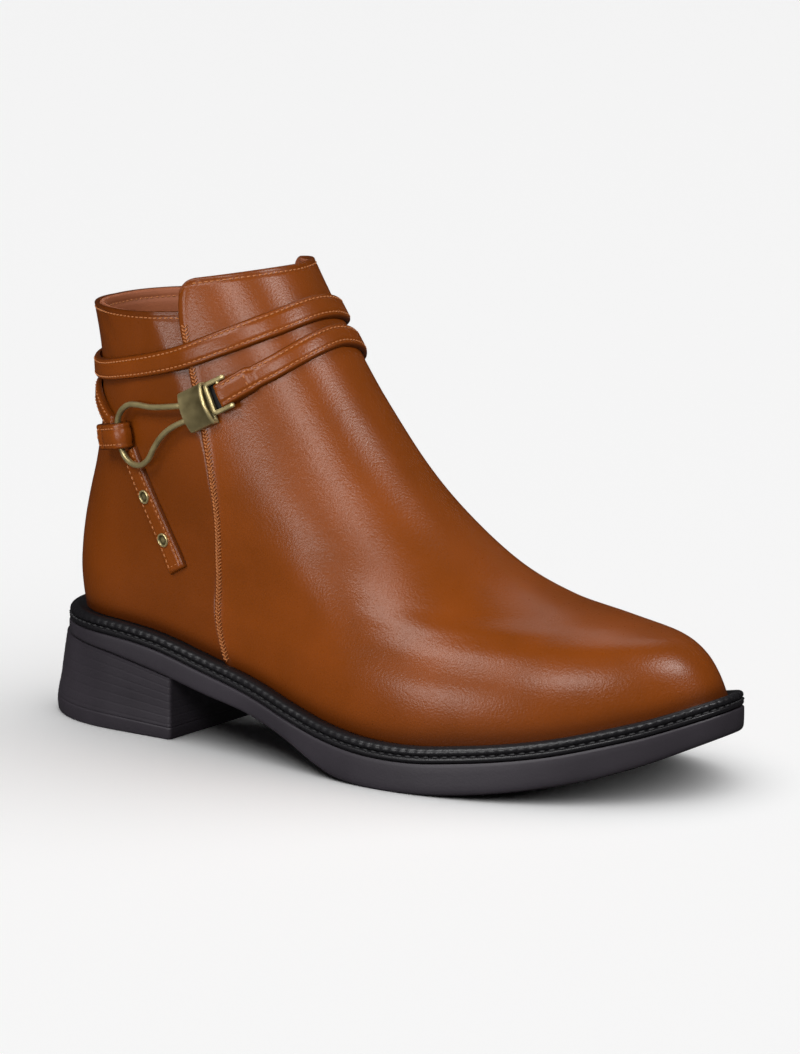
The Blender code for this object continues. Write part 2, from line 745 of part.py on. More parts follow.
def make_knot(material):
    """The strap's loop: a thick fold with a hole for the wire's straight rear bar."""
    ends = [lifted(*wall_place(x, z, OUTER), WIRE_LIFT) for x, z in KNOT_ENDS]
    centre = 0.5 * (ends[0] + ends[1])
    axis = unit(ends[0] - ends[1])
    rise, turn = wall_place(*KNOT_ENDS.mean(axis=0), OUTER)
    along = unit(np.cross(axis, last_normal(rise, turn)))
    outward = np.cross(along, axis)
    angle = np.arange(KNOT_POINTS) * 2 * math.pi / KNOT_POINTS
    reach = np.where(np.cos(angle) > 0, KNOT_FRONT, KNOT_REAR)
    across = reach * np.cos(angle)
    thick = KNOT_END_THICK + (KNOT_THICK - KNOT_END_THICK) * np.sin(angle)**2
    share = 0.5 + 0.5 * np.sign(np.sin(angle)) * np.sqrt(np.abs(np.sin(angle)))
    height = knot_floor(centre, along, outward, across) + thick * share
    loop = across[:, None] * along + height[:, None] * outward
    hole = KNOT_HOLE * (np.cos(angle)[:, None] * along + np.sin(angle)[:, None] * outward)
    half = 0.5 * KNOT_HIGH
    rings = [loop - axis * half, loop + axis * half, hole + axis * half, hole - axis * half]
    numbers = np.arange(4 * KNOT_POINTS).reshape(4, KNOT_POINTS)
    closed = np.concatenate([numbers, numbers[:, :1]], axis=1)
    faces = []
    for first in range(4):
        faces.extend(quads_between(closed[first], closed[(first + 1) % 4]).tolist())
    return add_solid("strap_knot", centre + np.concatenate(rings), faces, material)


# Zip: tape and chain behind the slot, a slider at the top and a pull tab that swings on its bridge
TAPE_HALF = 8.0
TAPE_THICK = 0.8
TAPE_TOP = -0.5 * LAP - WALL - GAP
TAPE_RISE = (0.165, 0.905)
CHAIN_HALF = 2.3
CHAIN_THICK = 1.7
CHAIN_RISE = (0.20, 0.845)
ZIP_ROWS = 16
ZIP_ACROSS = np.array([-1.0, -0.5, 0.0, 0.5, 1.0])
SLIDER_RISE = 0.885
SLIDER_LONG = 8.6
SLIDER_WIDE = 7.6
SLIDER_STEM = 4.4
SLIDER_PLATE = 1.6
SLIDER_LIFT = 0.5 * LAP + GAP
BRIDGE_INNER = 1.25
BRIDGE_OUTER = 2.3
BRIDGE_WIDE = 1.6
BRIDGE_STEPS = 8
HINGE_LIFT = SLIDER_LIFT + SLIDER_PLATE + 1.3
PULL_LONG = 20.0
PULL_WIDE = 6.4
PULL_NECK = 4.6
PULL_SHOULDER = (4.1, 6.6)
PULL_CORNER = 1.2
PULL_THICK = 1.3
PULL_BAR = 0.6
EYE_HALF = 1.3
EYE_SPAN = (0.7, 3.1)


def zip_x(rise):
    return column(ZIP, ZIP_COLUMNS, "x", rise)


def make_zip_strip(name, rise_span, half, bottom, thick, material):
    """A strip that runs down behind the zip's slot, between two lifts."""
    rise = np.linspace(*rise_span, ZIP_ROWS)[:, None]
    across = half * np.append(ZIP_ACROSS, ZIP_ACROSS[::-1])
    lift = bottom + thick * np.repeat([0.0, 1.0], len(ZIP_ACROSS))
    turn = turn_at(rise, zip_x(rise) + across, INNER)
    return sewn_shut(name, lifted(rise, turn, lift + np.zeros(turn.shape)), material)


def slider_frame(lift):
    """The slider's place on the zip, with its forward, up and outward directions."""
    rise = np.array(SLIDER_RISE)
    return local_frame(rise, turn_at(rise, zip_x(rise), INNER), lift, INNER)


def make_slider(material):
    """The slider: a plate over the slot with a stem in it, and a bridge for the pull tab."""
    origin, forward, up, outward = slider_frame(0.0)
    rises = SLIDER_RISE + np.array([-0.01, 0.01])
    low, high = last_point(rises, turn_at(rises, zip_x(rises), INNER))
    beside = unit(np.cross(high - low, outward))
    along = np.cross(outward, beside)
    stem_floor = TAPE_TOP + GAP
    plate_top = SLIDER_LIFT + SLIDER_PLATE
    tee = np.array([
        (0.5 * SLIDER_STEM, stem_floor),
        (0.5 * SLIDER_STEM, SLIDER_LIFT),
        (0.5 * SLIDER_WIDE, SLIDER_LIFT),
        (0.5 * SLIDER_WIDE, plate_top),
    ])
    tee = np.concatenate([tee, tee[::-1] * (-1, 1)])
    half = 0.5 * SLIDER_LONG
    body = prism("zip_slider", tee, -half, half, origin, (beside, outward, along), material)
    angle = np.linspace(0, math.pi, BRIDGE_STEPS + 1)
    circle = np.column_stack([np.cos(angle), np.sin(angle)])
    foot = plate_top - 0.5 * SLIDER_PLATE
    arch = np.concatenate([
        [(BRIDGE_OUTER, foot)],
        circle * BRIDGE_OUTER + (0, HINGE_LIFT),
        [(-BRIDGE_OUTER, foot), (-BRIDGE_INNER, foot)],
        circle[::-1] * BRIDGE_INNER + (0, HINGE_LIFT),
        [(BRIDGE_INNER, foot)],
    ])
    half = 0.5 * BRIDGE_WIDE
    bridge = prism("bridge_guide", arch, -half, half, origin, (up, outward, forward), material)
    fuse(body, bridge, "UNION")
    return body, bridge


def make_pull(material):
    """The pull tab, hanging from the bridge by the bar of its eye; its origin is on the hinge's axis."""
    pivot, forward, up, outward = slider_frame(HINGE_LIFT)
    side = np.array([
        (0.5 * PULL_NECK, -PULL_BAR),
        (0.5 * PULL_NECK, PULL_SHOULDER[0]),
        (0.5 * PULL_WIDE, PULL_SHOULDER[1]),
        (0.5 * PULL_WIDE, PULL_LONG - PULL_CORNER),
        (0.5 * PULL_WIDE - PULL_CORNER, PULL_LONG),
    ])
    outline = np.concatenate([side, side[::-1] * (-1, 1)])
    eye = np.array([(EYE_HALF, EYE_SPAN[0]), (EYE_HALF, EYE_SPAN[1])])
    eye = np.concatenate([eye, eye[::-1] * (-1, 1)])
    half = 0.5 * PULL_THICK
    axes = (forward, -up, outward)
    tab = prism("zip_pull", outline, -half, half, np.zeros(3), axes, material)
    hole = prism("eye_guide", eye, -PULL_THICK, PULL_THICK, np.zeros(3), axes, material)
    fuse(tab, hole, "DIFFERENCE")
    tab.location = pivot * MM
    hole.location = pivot * MM
    return tab, hole


def clear_scene():
    for old in list(bpy.data.objects):
        bpy.data.objects.remove(old, do_unlink=True)


def stand_on_origin(solids, guides):
    """Carry all pieces on one empty, so that the boot stands over the origin."""
    corners = []
    for solid in solids:
        corners.append(np.array([vertex.co for vertex in solid.data.vertices]) + np.array(solid.location))
    corners = np.concatenate(corners)
    middle = 0.5 * (corners.min(axis=0) + corners.max(axis=0))
    carrier = bpy.data.objects.new("boot_carrier", None)
    bpy.context.scene.collection.objects.link(carrier)
    carrier.location = (-middle[0], -middle[1], -corners[:, 2].min())
    for piece in solids + guides:
        piece.parent = carrier


clear_scene()
leather = finish("cognac_leather", (0.32, 0.115, 0.03), 0.42)
lining = finish("tan_lining", (0.5, 0.28, 0.13), 0.8)
rubber = finish("charcoal_rubber", (0.035, 0.03, 0.032), 0.6)
welt_rubber = finish("black_welt", (0.015, 0.014, 0.015), 0.4)
brass = finish("antique_brass", (0.24, 0.19, 0.09), 0.35, 1.0)
zip_cloth = finish("brown_zip_tape", (0.09, 0.04, 0.02), 0.85)
zip_nylon = finish("brown_zip_chain", (0.06, 0.028, 0.016), 0.5)
zip_metal = finish("brown_zip_metal", (0.13, 0.065, 0.035), 0.4, 0.6)
block, prong_guide = make_buckle(brass)
slider, bridge_guide = make_slider(zip_metal)
pull, eye_guide = make_pull(zip_metal)
pieces = [
    make_upper(leather),
    make_insole(lining),
    make_welt(welt_rubber),
    make_outsole(rubber),
    make_heel(rubber),
    make_wrapped_strap("strap_upper", STRAP_UPPER, STRAP_UPPER_WIDE, leather),
    make_wrapped_strap("strap_lower_front", STRAP_LOWER_FRONT, STRAP_LOWER_WIDE, leather),
    make_wrapped_strap("strap_lower_back", STRAP_LOWER_BACK, STRAP_LOWER_WIDE, leather),
    make_knot(leather),
    make_tail(leather),
    block,
    make_wire(brass),
    make_zip_strip("zip_tape", TAPE_RISE, TAPE_HALF, TAPE_TOP - TAPE_THICK, TAPE_THICK, zip_cloth),
    make_zip_strip("zip_chain", CHAIN_RISE, CHAIN_HALF, TAPE_TOP + GAP, CHAIN_THICK, zip_nylon),
    slider,
    pull,
]
for number, share in enumerate(RIVET_PLACES, start=1):
    pieces.append(make_rivet(number, share, brass))
stand_on_origin(pieces, [prong_guide, bridge_guide, eye_guide])
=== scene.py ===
"""The looks of a buckle ankle boot for the right foot, dressed over its solids.

The boot's toe points along +X, its inner side faces +Y and +Z is up. Shapes are
worked out in the last's own millimetres and moved to metres as meshes are made.
"""

import math

import bmesh
import bpy
import numpy as np
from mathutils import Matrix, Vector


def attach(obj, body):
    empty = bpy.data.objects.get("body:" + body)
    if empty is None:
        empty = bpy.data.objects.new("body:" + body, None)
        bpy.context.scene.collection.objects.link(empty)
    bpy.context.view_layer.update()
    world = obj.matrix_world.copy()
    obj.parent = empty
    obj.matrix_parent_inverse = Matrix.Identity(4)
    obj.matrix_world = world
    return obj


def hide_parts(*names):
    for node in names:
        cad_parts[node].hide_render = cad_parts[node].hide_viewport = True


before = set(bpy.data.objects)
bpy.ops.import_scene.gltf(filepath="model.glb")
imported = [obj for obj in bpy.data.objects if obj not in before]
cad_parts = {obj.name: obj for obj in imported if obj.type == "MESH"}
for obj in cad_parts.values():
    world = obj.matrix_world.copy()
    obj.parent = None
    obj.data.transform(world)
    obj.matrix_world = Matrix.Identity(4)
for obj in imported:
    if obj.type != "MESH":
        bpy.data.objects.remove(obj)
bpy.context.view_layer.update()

# Stage: a pale painted floor that runs past the frame, soft studio boxes and the camera.
# The boxes are large, so that their glints on the leather stay long and soft.
CAMERA_EYE = (0.7507, -1.0374, 0.3244)
CAMERA_AIM = (0.0068, 0.0016, 0.0771)
CAMERA_LENS = 130.0
FLOOR_HALF = 30.0
FLOOR_COLOUR, FLOOR_ROUGHNESS = "#fafafa", 0.9
WELD_METRES = 1e-6
WORLD_COLOUR = "#ffffff"
WORLD_STRENGTH = 0.02
SKY_AZIMUTH, SKY_ELEVATION, SKY_SPREAD = 100, 72, 110
FLOOR_SKY, BOOT_SKY = 3.18, 0.1
# Soft boxes: azimuth from the outer side towards the toe, elevation, distance, width, height,
# power, and whether the leather mirrors the box or only takes its light
SOFT_BOXES = (
    (-12, 43, 1.5, 0.75, 0.55, 18.5, True),
    (34, 32, 1.5, 0.58, 0.46, 15.0, True),
    (100, 41, 1.5, 0.52, 0.42, 17.0, True),
    (-6, 4, 1.5, 0.72, 0.26, 11.5, True),
    (205, 60, 1.5, 0.80, 0.80, 3.5, True),
    (195, 24, 1.5, 0.90, 0.70, 16.0, False),
    (-110, 24, 1.5, 0.90, 0.70, 6.0, False),
)


def linear(hex_colour):
    """An sRGB hex colour turned to linear red, green and blue, with alpha one."""
    channels = np.array([int(hex_colour[i:i + 2], 16) for i in (1, 3, 5)]) / 255
    curve = np.where(channels <= 0.04045, channels / 12.92, ((channels + 0.055) / 1.055)**2.4)
    return (*curve.tolist(), 1.0)


def new_finish(name, colour, roughness, **sockets):
    """A material whose shader has its own sockets set by name; returns it with its node tree."""
    material = bpy.data.materials.new(name)
    material.use_nodes = True
    shader = material.node_tree.nodes["Principled BSDF"]
    shader.inputs["Base Color"].default_value = linear(colour)
    shader.inputs["Roughness"].default_value = roughness
    for socket, value in sockets.items():
        shader.inputs[socket.replace("_", " ").title().replace("Ior", "IOR")].default_value = value
    return material, material.node_tree, shader


def mesh_piece(name, points, faces, material, sharp_deg=50, weld=False):
    """A smooth mesh object at the origin, from points in metres and faces as lists of numbers."""
    mesh = bpy.data.meshes.new(name)
    mesh.from_pydata(np.asarray(points).reshape(-1, 3).tolist(), [], faces)
    if weld:
        welded = bmesh.new()
        welded.from_mesh(mesh)
        bmesh.ops.remove_doubles(welded, verts=welded.verts, dist=WELD_METRES)
        welded.to_mesh(mesh)
        welded.free()
    mesh.materials.append(material)
    mesh.shade_smooth()
    mesh.set_sharp_from_angle(angle=math.radians(sharp_deg))
    mesh.update()
    piece = bpy.data.objects.new(name, mesh)
    bpy.context.scene.collection.objects.link(piece)
    return piece


def direction(azimuth, elevation):
    """The way to a place in the sky: azimuth turns from -Y towards +X, elevation rises from the floor."""
    a, e = math.radians(azimuth), math.radians(elevation)
    return np.array([math.sin(a) * math.cos(e), -math.cos(a) * math.cos(e), math.sin(e)])


def aim_at(thing, place, target):
    """Put a light or a camera at a place and point its -Z at a target."""
    thing.location = place
    look = Vector(target) - Vector(place)
    thing.rotation_euler = look.to_track_quat("-Z", "Y").to_euler()
    bpy.context.scene.collection.objects.link(thing)


# Matt floor paint: an even near-white that shows only the boot's soft shadow
floor_paint = new_finish("matt_floor_paint", FLOOR_COLOUR, FLOOR_ROUGHNESS)[0]
floor_corners = FLOOR_HALF * np.array([(-1, -1, 0), (1, -1, 0), (1, 1, 0), (-1, 1, 0)])
floor = mesh_piece("floor", floor_corners, [[0, 1, 2, 3]], floor_paint)
floor.visible_glossy = False
floor_only = bpy.data.collections.new("floor_only")
boot_only = bpy.data.collections.new("boot_only")
for lit, state in ((floor_only, "INCLUDE"), (boot_only, "EXCLUDE")):
    lit.objects.link(floor)
    lit.collection_objects[0].light_linking.link_state = state
for number, (azimuth, elevation, distance, wide, high, power, mirrored) in enumerate(SOFT_BOXES):
    lamp = bpy.data.lights.new("soft_box_%d" % number, "AREA")
    lamp.shape = "RECTANGLE"
    lamp.size = wide
    lamp.size_y = high
    lamp.energy = power
    place = np.array(CAMERA_AIM) + direction(azimuth, elevation) * distance
    soft_box = bpy.data.objects.new(lamp.name, lamp)
    soft_box.light_linking.receiver_collection = boot_only
    soft_box.visible_glossy = mirrored
    aim_at(soft_box, place, CAMERA_AIM)
for name, strength, lit in (("floor_cloth", FLOOR_SKY, floor_only), ("boot_cloth", BOOT_SKY, boot_only)):
    sky = bpy.data.lights.new(name, "SUN")
    sky.energy = strength
    sky.angle = math.radians(SKY_SPREAD)
    overhead = bpy.data.objects.new(name, sky)
    overhead.light_linking.receiver_collection = lit
    aim_at(overhead, direction(SKY_AZIMUTH, SKY_ELEVATION), (0, 0, 0))
world = bpy.data.worlds.new("studio")
world.use_nodes = True
world.node_tree.nodes["Background"].inputs["Color"].default_value = linear(WORLD_COLOUR)
world.node_tree.nodes["Background"].inputs["Strength"].default_value = WORLD_STRENGTH
bpy.context.scene.world = world
bpy.context.scene.view_settings.view_transform = "Standard"
camera = bpy.data.cameras.new("camera")
camera.lens = CAMERA_LENS
bpy.context.scene.camera = bpy.data.objects.new("camera", camera)
aim_at(bpy.context.scene.camera, CAMERA_EYE, CAMERA_AIM)

# Upper: a front panel that laps over a rear quarter at the outer seam and at the zip, both
# of smooth cognac leather about 1.5 mm thick with turned edges, lasted over one form and
# stitched along every edge. The lasted form has a row for each section up from the sole.
SECTION_COLUMNS = (
    "rise", "back_x", "back_z", "front_x", "front_z", "outer_half", "inner_half", "foot_share")
SECTIONS = np.array([
    (0.00, 8.0, 39.5, 254.8, 31.0, 43.7, 42.0, 1.00),
    (0.06, 7.2, 46.0, 251.9, 37.5, 44.6, 42.5, 1.00),
    (0.13, 6.3, 53.5, 247.6, 44.0, 44.0, 41.5, 0.95),
    (0.21, 6.0, 62.0, 240.2, 49.4, 41.5, 39.0, 0.85),
    (0.30, 6.7, 72.0, 226.6, 52.7, 38.5, 36.5, 0.65),
    (0.39, 8.7, 82.0, 207.2, 56.4, 36.5, 35.0, 0.40),
    (0.48, 11.5, 92.0, 185.6, 65.0, 35.5, 34.0, 0.20),
    (0.57, 14.1, 103.0, 164.3, 80.0, 35.0, 33.5, 0.05),
    (0.66, 15.9, 114.0, 144.6, 99.1, 34.5, 33.0, 0.00),
    (0.75, 16.8, 126.0, 127.9, 119.6, 34.0, 32.5, 0.00),
    (0.84, 16.2, 138.0, 114.1, 138.8, 34.0, 32.5, 0.00),
    (0.92, 14.8, 148.0, 103.0, 154.7, 34.2, 33.0, 0.00),
    (1.00, 13.2, 157.0, 95.4, 166.6, 34.5, 33.5, 0.00),
])
OUTLINE_COLUMNS = ("share", "outer_half", "inner_half")
OUTLINE = np.array([
    (0.00, 27.0, 27.0),
    (0.06, 28.2, 28.2),
    (0.14, 29.2, 29.2),
    (0.24, 29.9, 28.0),
    (0.36, 31.9, 25.5),
    (0.48, 36.7, 26.5),
    (0.60, 42.7, 33.5),
    (0.68, 43.9, 39.5),
    (0.76, 42.0, 42.0),
    (0.84, 37.5, 40.5),
    (0.91, 33.3, 37.0),
    (0.96, 30.1, 34.0),
    (1.00, 27.0, 31.0),
])
SOLE_COLUMNS = ("share", "feather_z", "outsole_bottom_z")
SOLE = np.array([
    (0.00, 39.5, 30.2),
    (0.10, 39.5, 28.9),
    (0.20, 37.2, 24.6),
    (0.30, 31.7, 19.2),
    (0.40, 26.2, 14.6),
    (0.46, 21.9, 9.8),
    (0.51, 18.7, 4.2),
    (0.55, 17.0, 1.1),
    (0.59, 15.9, 0.0),
    (0.68, 15.6, 0.0),
    (0.74, 17.0, 1.2),
    (0.80, 18.8, 3.2),
    (0.86, 21.3, 6.0),
    (0.92, 24.9, 9.8),
    (0.96, 27.6, 13.3),
    (1.00, 31.0, 17.6),
])
SEAM_COLUMNS = ("rise", "x")
SEAM = np.array([
    (0.00, 88.0),
    (0.10, 85.0),
    (0.30, 84.5),
    (0.54, 85.7),
    (0.68, 81.5),
    (0.80, 75.5),
    (0.91, 71.0),
    (1.00, 71.5),
])
ZIP_COLUMNS = ("rise", "x")
ZIP = np.array([
    (0.00, 105.0),
    (0.18, 103.4),
    (0.40, 97.5),
    (0.60, 91.0),
    (0.75, 82.0),
    (0.91, 73.0),
    (1.00, 69.0),
])
MM = 0.001
ORIGIN = np.array([127.95, 5.525, 0.0])
TOE_IN, TOE_IN_FROM, TOE_IN_MOST, TOE_IN_POWER = 18.0, 0.45, 1.2, 1.5
OVAL_POWER = 2.1
SAG_TOP, SAG_POWER = 0.6, 1.5
HEEL_ROUND, TOE_ROUND, TOE_POWER, TOE_ROOT = 0.115, 0.20, 2.3, 2.1
RISE_PER_MM = 0.0074
LAP = 0.8
OUTER, INNER = -1, 1
ZIP_END, ZIP_HALF = 0.185, 3.2
COLLAR_REAR, COLLAR_HEEL_LIFT = 0.910, 0.02
COLLAR_PANEL, COLLAR_FRONT_LIFT = 0.980, 0.013
COLLAR_INNER_LIFT = 0.014
COLLAR_FADE, CORNER_RADIUS = 0.80, 5.0
LEATHER_THICK = 1.5
# Zip slot: how far under its end it starts to open, over what rise it opens on the panel and on
# the quarter, and how far the quarter goes under the panel below it
ZIP_LEAD, ZIP_OPENS, ZIP_CLOSES, ZIP_OVERLAP = 0.02, 0.03, 0.012, 2.0
# Rises at which the turns of the collar's edge are read
PANEL_COLLAR, QUARTER_COLLAR = 0.96, 0.91
# Grid columns near an edge: distances in from a turned edge, and from the seam for the part under the lap
RIM_STEPS = np.array([
    0.0, 0.04, 0.12, 0.25, 0.42, 0.62, 0.85, 1.1, 1.4, 1.8, 2.2, 2.6, 3.0, 3.6, 4.4, 5.5, 7.0, 9.0])
LAP_STEPS = np.array([6.0, 4.5, 3.0, 2.0, 1.2, 0.6, 0.2, -0.3, -0.9, -1.6, -2.6, -4.0])
STITCH_DIP, STITCH_DIP_WIDE = 0.22, 0.55
# Ridges beside a crease: share of its depth, distance from its middle in widths
RIDGE_SHARE, RIDGE_OFF = 0.45, 1.7
# Creases: middle turn and rise, half span in degrees, climb in rise, width and depth in millimetres
CREASES = (
    (0, 0.600, 58, 0.030, 6.5, 0.26),
    (4, 0.655, 46, -0.020, 6.0, 0.20),
    (-4, 0.540, 50, 0.015, 6.5, 0.20),
    (-70, 0.500, 30, -0.080, 9.0, 0.14),
    (78, 0.500, 17, -0.050, 6.0, 0.25),
    (0, 0.285, 42, -0.045, 7.0, 0.10),
    (-100, 0.865, 9, 0.060, 4.0, 0.42),
    (-128, 0.880, 10, -0.030, 4.5, 0.34),
    (-150, 0.640, 24, 0.020, 5.5, 0.36),
    (165, 0.600, 24, -0.020, 5.5, 0.34),
)


def curve_through(knots, values, at):
    """A smooth curve through values at the knots: cubics whose slopes are means of their neighbours'."""
    steps = np.diff(knots)
    slopes = np.diff(values) / steps
    tangents = np.empty(len(values))
    tangents[1:-1] = (slopes[:-1] * steps[1:] + slopes[1:] * steps[:-1]) / (steps[1:] + steps[:-1])
    tangents[0] = 1.5 * slopes[0] - 0.5 * tangents[1]
    tangents[-1] = 1.5 * slopes[-1] - 0.5 * tangents[-2]
    inside = np.clip(at, knots[0], knots[-1])
    i = np.clip(np.searchsorted(knots, inside, side="right") - 1, 0, len(knots) - 2)
    t = (inside - knots[i]) / steps[i]
    bends = (2 * t**3 - 3 * t**2 + 1) * values[i] + (3 * t**2 - 2 * t**3) * values[i + 1]
    leans = (t**3 - 2 * t**2 + t) * tangents[i] + (t**3 - t**2) * tangents[i + 1]
    beyond = np.where(at < knots[0], tangents[0], tangents[-1]) * (at - inside)
    return bends + leans * steps[i] + beyond


def column(table, names, name, at):
    """One named column of a table, read at places along its first column."""
    return curve_through(table[:, 0], table[:, names.index(name)], np.asarray(at, float))


def section(name, rise):
    """One column of the sections at a rise."""
    return column(SECTIONS, SECTION_COLUMNS, name, rise)


def outline_half(share, side):
    """Half width of the foot's outline: its table, times a circle at the heel and an oval at the toe."""
    half = column(OUTLINE, OUTLINE_COLUMNS, "outer_half" if side == OUTER else "inner_half", share)
    heel = np.sqrt(1 - np.clip(1 - share / HEEL_ROUND, 0, 1)**2)
    toe = np.clip((share - 1 + TOE_ROUND) / TOE_ROUND, 0, 1)
    return half * heel * (1 - toe**TOE_POWER)**(1 / TOE_ROOT)


WIDEST = {side: outline_half(np.linspace(0, 1, 201), side).max() for side in (OUTER, INNER)}


def sole_share(x):
    """The share of the foot's length at a place along it."""
    return (x - SECTIONS[0, 1]) / (SECTIONS[0, 3] - SECTIONS[0, 1])


def toe_in(x):
    """How far the middle line leans to the inner side: a power of the way from the waist to the toe."""
    forward = (sole_share(x) - TOE_IN_FROM) / (1 - TOE_IN_FROM)
    return TOE_IN * np.clip(forward, 0, TOE_IN_MOST)**TOE_IN_POWER


def last_point(rise, turn):
    """The lasted form: at each rise a ring from back to front, between the foot's outline and an oval."""
    rise, turn = np.broadcast_arrays(np.asarray(rise, float), np.asarray(turn, float))
    share = 0.5 * (1 + np.cos(turn))
    outer = np.sin(turn) < 0
    oval = (1 - np.abs(np.cos(turn))**OVAL_POWER)**(1 / OVAL_POWER)
    outer_foot, inner_foot = (outline_half(share, side) / WIDEST[side] for side in (OUTER, INNER))
    foot = np.where(outer, outer_foot, inner_foot)
    half = np.where(outer, section("outer_half", rise), section("inner_half", rise))
    foot_share = np.clip(section("foot_share", rise), 0, 1)
    y = half * (foot_share * foot + (1 - foot_share) * oval)
    x = section("back_x", rise) * (1 - share) + section("front_x", rise) * share
    z = section("back_z", rise) * (1 - share) + section("front_z", rise) * share
    level = SECTIONS[0, 2] * (1 - share) + SECTIONS[0, 4] * share
    sag = column(SOLE, SOLE_COLUMNS, "feather_z", share) - level
    z = z + sag * np.clip(1 - rise / SAG_TOP, 0, 1)**SAG_POWER
    return np.stack([x, np.where(outer, -y, y) + toe_in(x), z], axis=-1)


def unit(vectors):
    """Vectors brought to length one."""
    return vectors / np.linalg.norm(vectors, axis=-1, keepdims=True)


def last_normal(rise, turn):
    """The outward direction of the form: the cross product of two short steps on it."""
    step = 0.004
    across = last_point(rise, turn + step) - last_point(rise, turn - step)
    up = last_point(np.minimum(rise + step, 1), turn) - last_point(np.maximum(rise - step, 0), turn)
    return unit(np.cross(across, up))


def lifted(rise, turn, lift):
    """Points at a lift off the form, square to it."""
    return last_point(rise, turn) + last_normal(rise, turn) * np.asarray(lift)[..., None]


def turn_at(rise, x, side):
    """The turn at which a ring passes a place along the foot, on one side."""
    back_x = section("back_x", rise)
    share = np.clip((x - back_x) / (section("front_x", rise) - back_x), 0, 1)
    return side * np.arccos(2 * share - 1)


def seam_x(rise):
    """Where the outer seam lies along the foot at a rise."""
    return column(SEAM, SEAM_COLUMNS, "x", rise)


def zip_x(rise):
    """Where the zip lies along the foot at a rise."""
    return column(ZIP, ZIP_COLUMNS, "x", rise)


def step_up(value):
    """Nought below 0, one above 1, and a smooth step between."""
    t = np.clip(value, 0, 1)
    return t * t * (3 - 2 * t)


def metres(points):
    """Points in the last's millimetres as metres about the boot's origin."""
    return (np.asarray(points) - ORIGIN) * MM


def distance_along(points):
    """How far along a line of points each of them lies."""
    return np.append(0.0, np.cumsum(np.linalg.norm(np.diff(points, axis=0), axis=1)))


def grid_faces(rows, columns, wrap=False):
    """Four-sided faces over a grid of numbers, row by row; wrap joins the last column to the first."""
    numbers = np.arange(rows * columns).reshape(rows, columns)
    if wrap:
        numbers = np.concatenate([numbers, numbers[:, :1]], axis=1)
    corners = (numbers[:-1, :-1], numbers[:-1, 1:], numbers[1:, 1:], numbers[1:, :-1])
    return np.stack(corners, axis=-1).reshape(-1, 4)


def shell(name, outside, inside, material, weld=False):
    """A closed skin: an outer grid, an inner grid facing the other way, and strips that join their rims."""
    rows, columns = outside.shape[:2]
    count = rows * columns
    numbers = np.arange(count).reshape(rows, columns)
    rim = np.concatenate([numbers[0, :-1], numbers[:-1, -1], numbers[-1, :0:-1], numbers[:0:-1, 0]])
    ahead = np.roll(rim, -1)
    strip = np.stack([ahead, rim, rim + count, ahead + count], axis=-1)
    front = grid_faces(rows, columns)
    faces = np.concatenate([front, front[:, ::-1] + count, strip])
    points = np.concatenate([outside.reshape(-1, 3), inside.reshape(-1, 3)])
    return mesh_piece(name, metres(points), faces.tolist(), material, weld=weld)


def dress(piece, body, slot, *nodes):
    """Say which body a piece rides on and hide the solids it stands for; slot is not used."""
    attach(piece, body)
    if nodes:
        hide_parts(*nodes)
    return piece


def turned_edge(distance, thick):
    """How far each skin falls towards the middle of the leather near a turned edge: a half round."""
    radius = 0.5 * thick
    inset = np.clip(radius - distance, 0, radius)
    return radius - np.sqrt(radius**2 - inset**2)


def crease_lift(rise, turn):
    """Soft troughs with a low ridge at each side: bells across the crease that fade to its ends."""
    lift = np.zeros(np.broadcast(rise, turn).shape)
    for middle, height, span, climb, wide, deep in CREASES:
        offset = np.degrees(turn) - middle
        along = ((offset + 180) % 360 - 180) / span
        across = (rise - height - climb * along) / RISE_PER_MM / wide
        fade = np.clip(1 - along**2, 0, 1)**2
        bells = np.exp(-across**2) - RIDGE_SHARE * np.exp(-(np.abs(across) - RIDGE_OFF)**2)
        lift -= deep * fade * bells
    return lift


def collar_top(turn, panel):
    """The collar's rise: low round the heel, high on the front panel, a little higher on the inner side."""
    inner = COLLAR_INNER_LIFT * np.clip(np.sin(turn), 0, 1)
    rear = COLLAR_REAR + COLLAR_HEEL_LIFT * np.clip(-np.cos(turn), 0, 1)**2
    front = COLLAR_PANEL + COLLAR_FRONT_LIFT * np.clip(np.cos(turn), 0, 1)
    return inner + (front if panel else rear)


def sheet_rows(top, low_rows):
    """Rises for each column: even rows up to the shaft, then on up to rim rows at the collar's edge."""
    rim = top - RIM_STEPS[::-1, None] * RISE_PER_MM
    low = np.linspace(0, COLLAR_FADE, low_rows)[:, None] + np.zeros_like(top)
    share = np.linspace(0, 1, 9)[1:-1, None]
    middle = COLLAR_FADE + (rim[0] - COLLAR_FADE) * share
    return np.concatenate([low, middle, rim])


def sheet_grid(start, end, share, side, low_rows, collar):
    """Rise, turn and distances to the edges of a sheet of leather, column by column.

    Each column's turn lies a share of the way from the start's turn to the end's, and collar
    gives its top from the turns near the collar.
    """
    def turns(rise):
        return start(rise) + (end(rise) - start(rise)) * share

    top = collar(turns)
    rise = sheet_rows(top, low_rows)
    grids = (rise, turns(rise), side + np.zeros_like(rise), (top - rise) / RISE_PER_MM)
    return [grid[:, ::-1] for grid in grids]


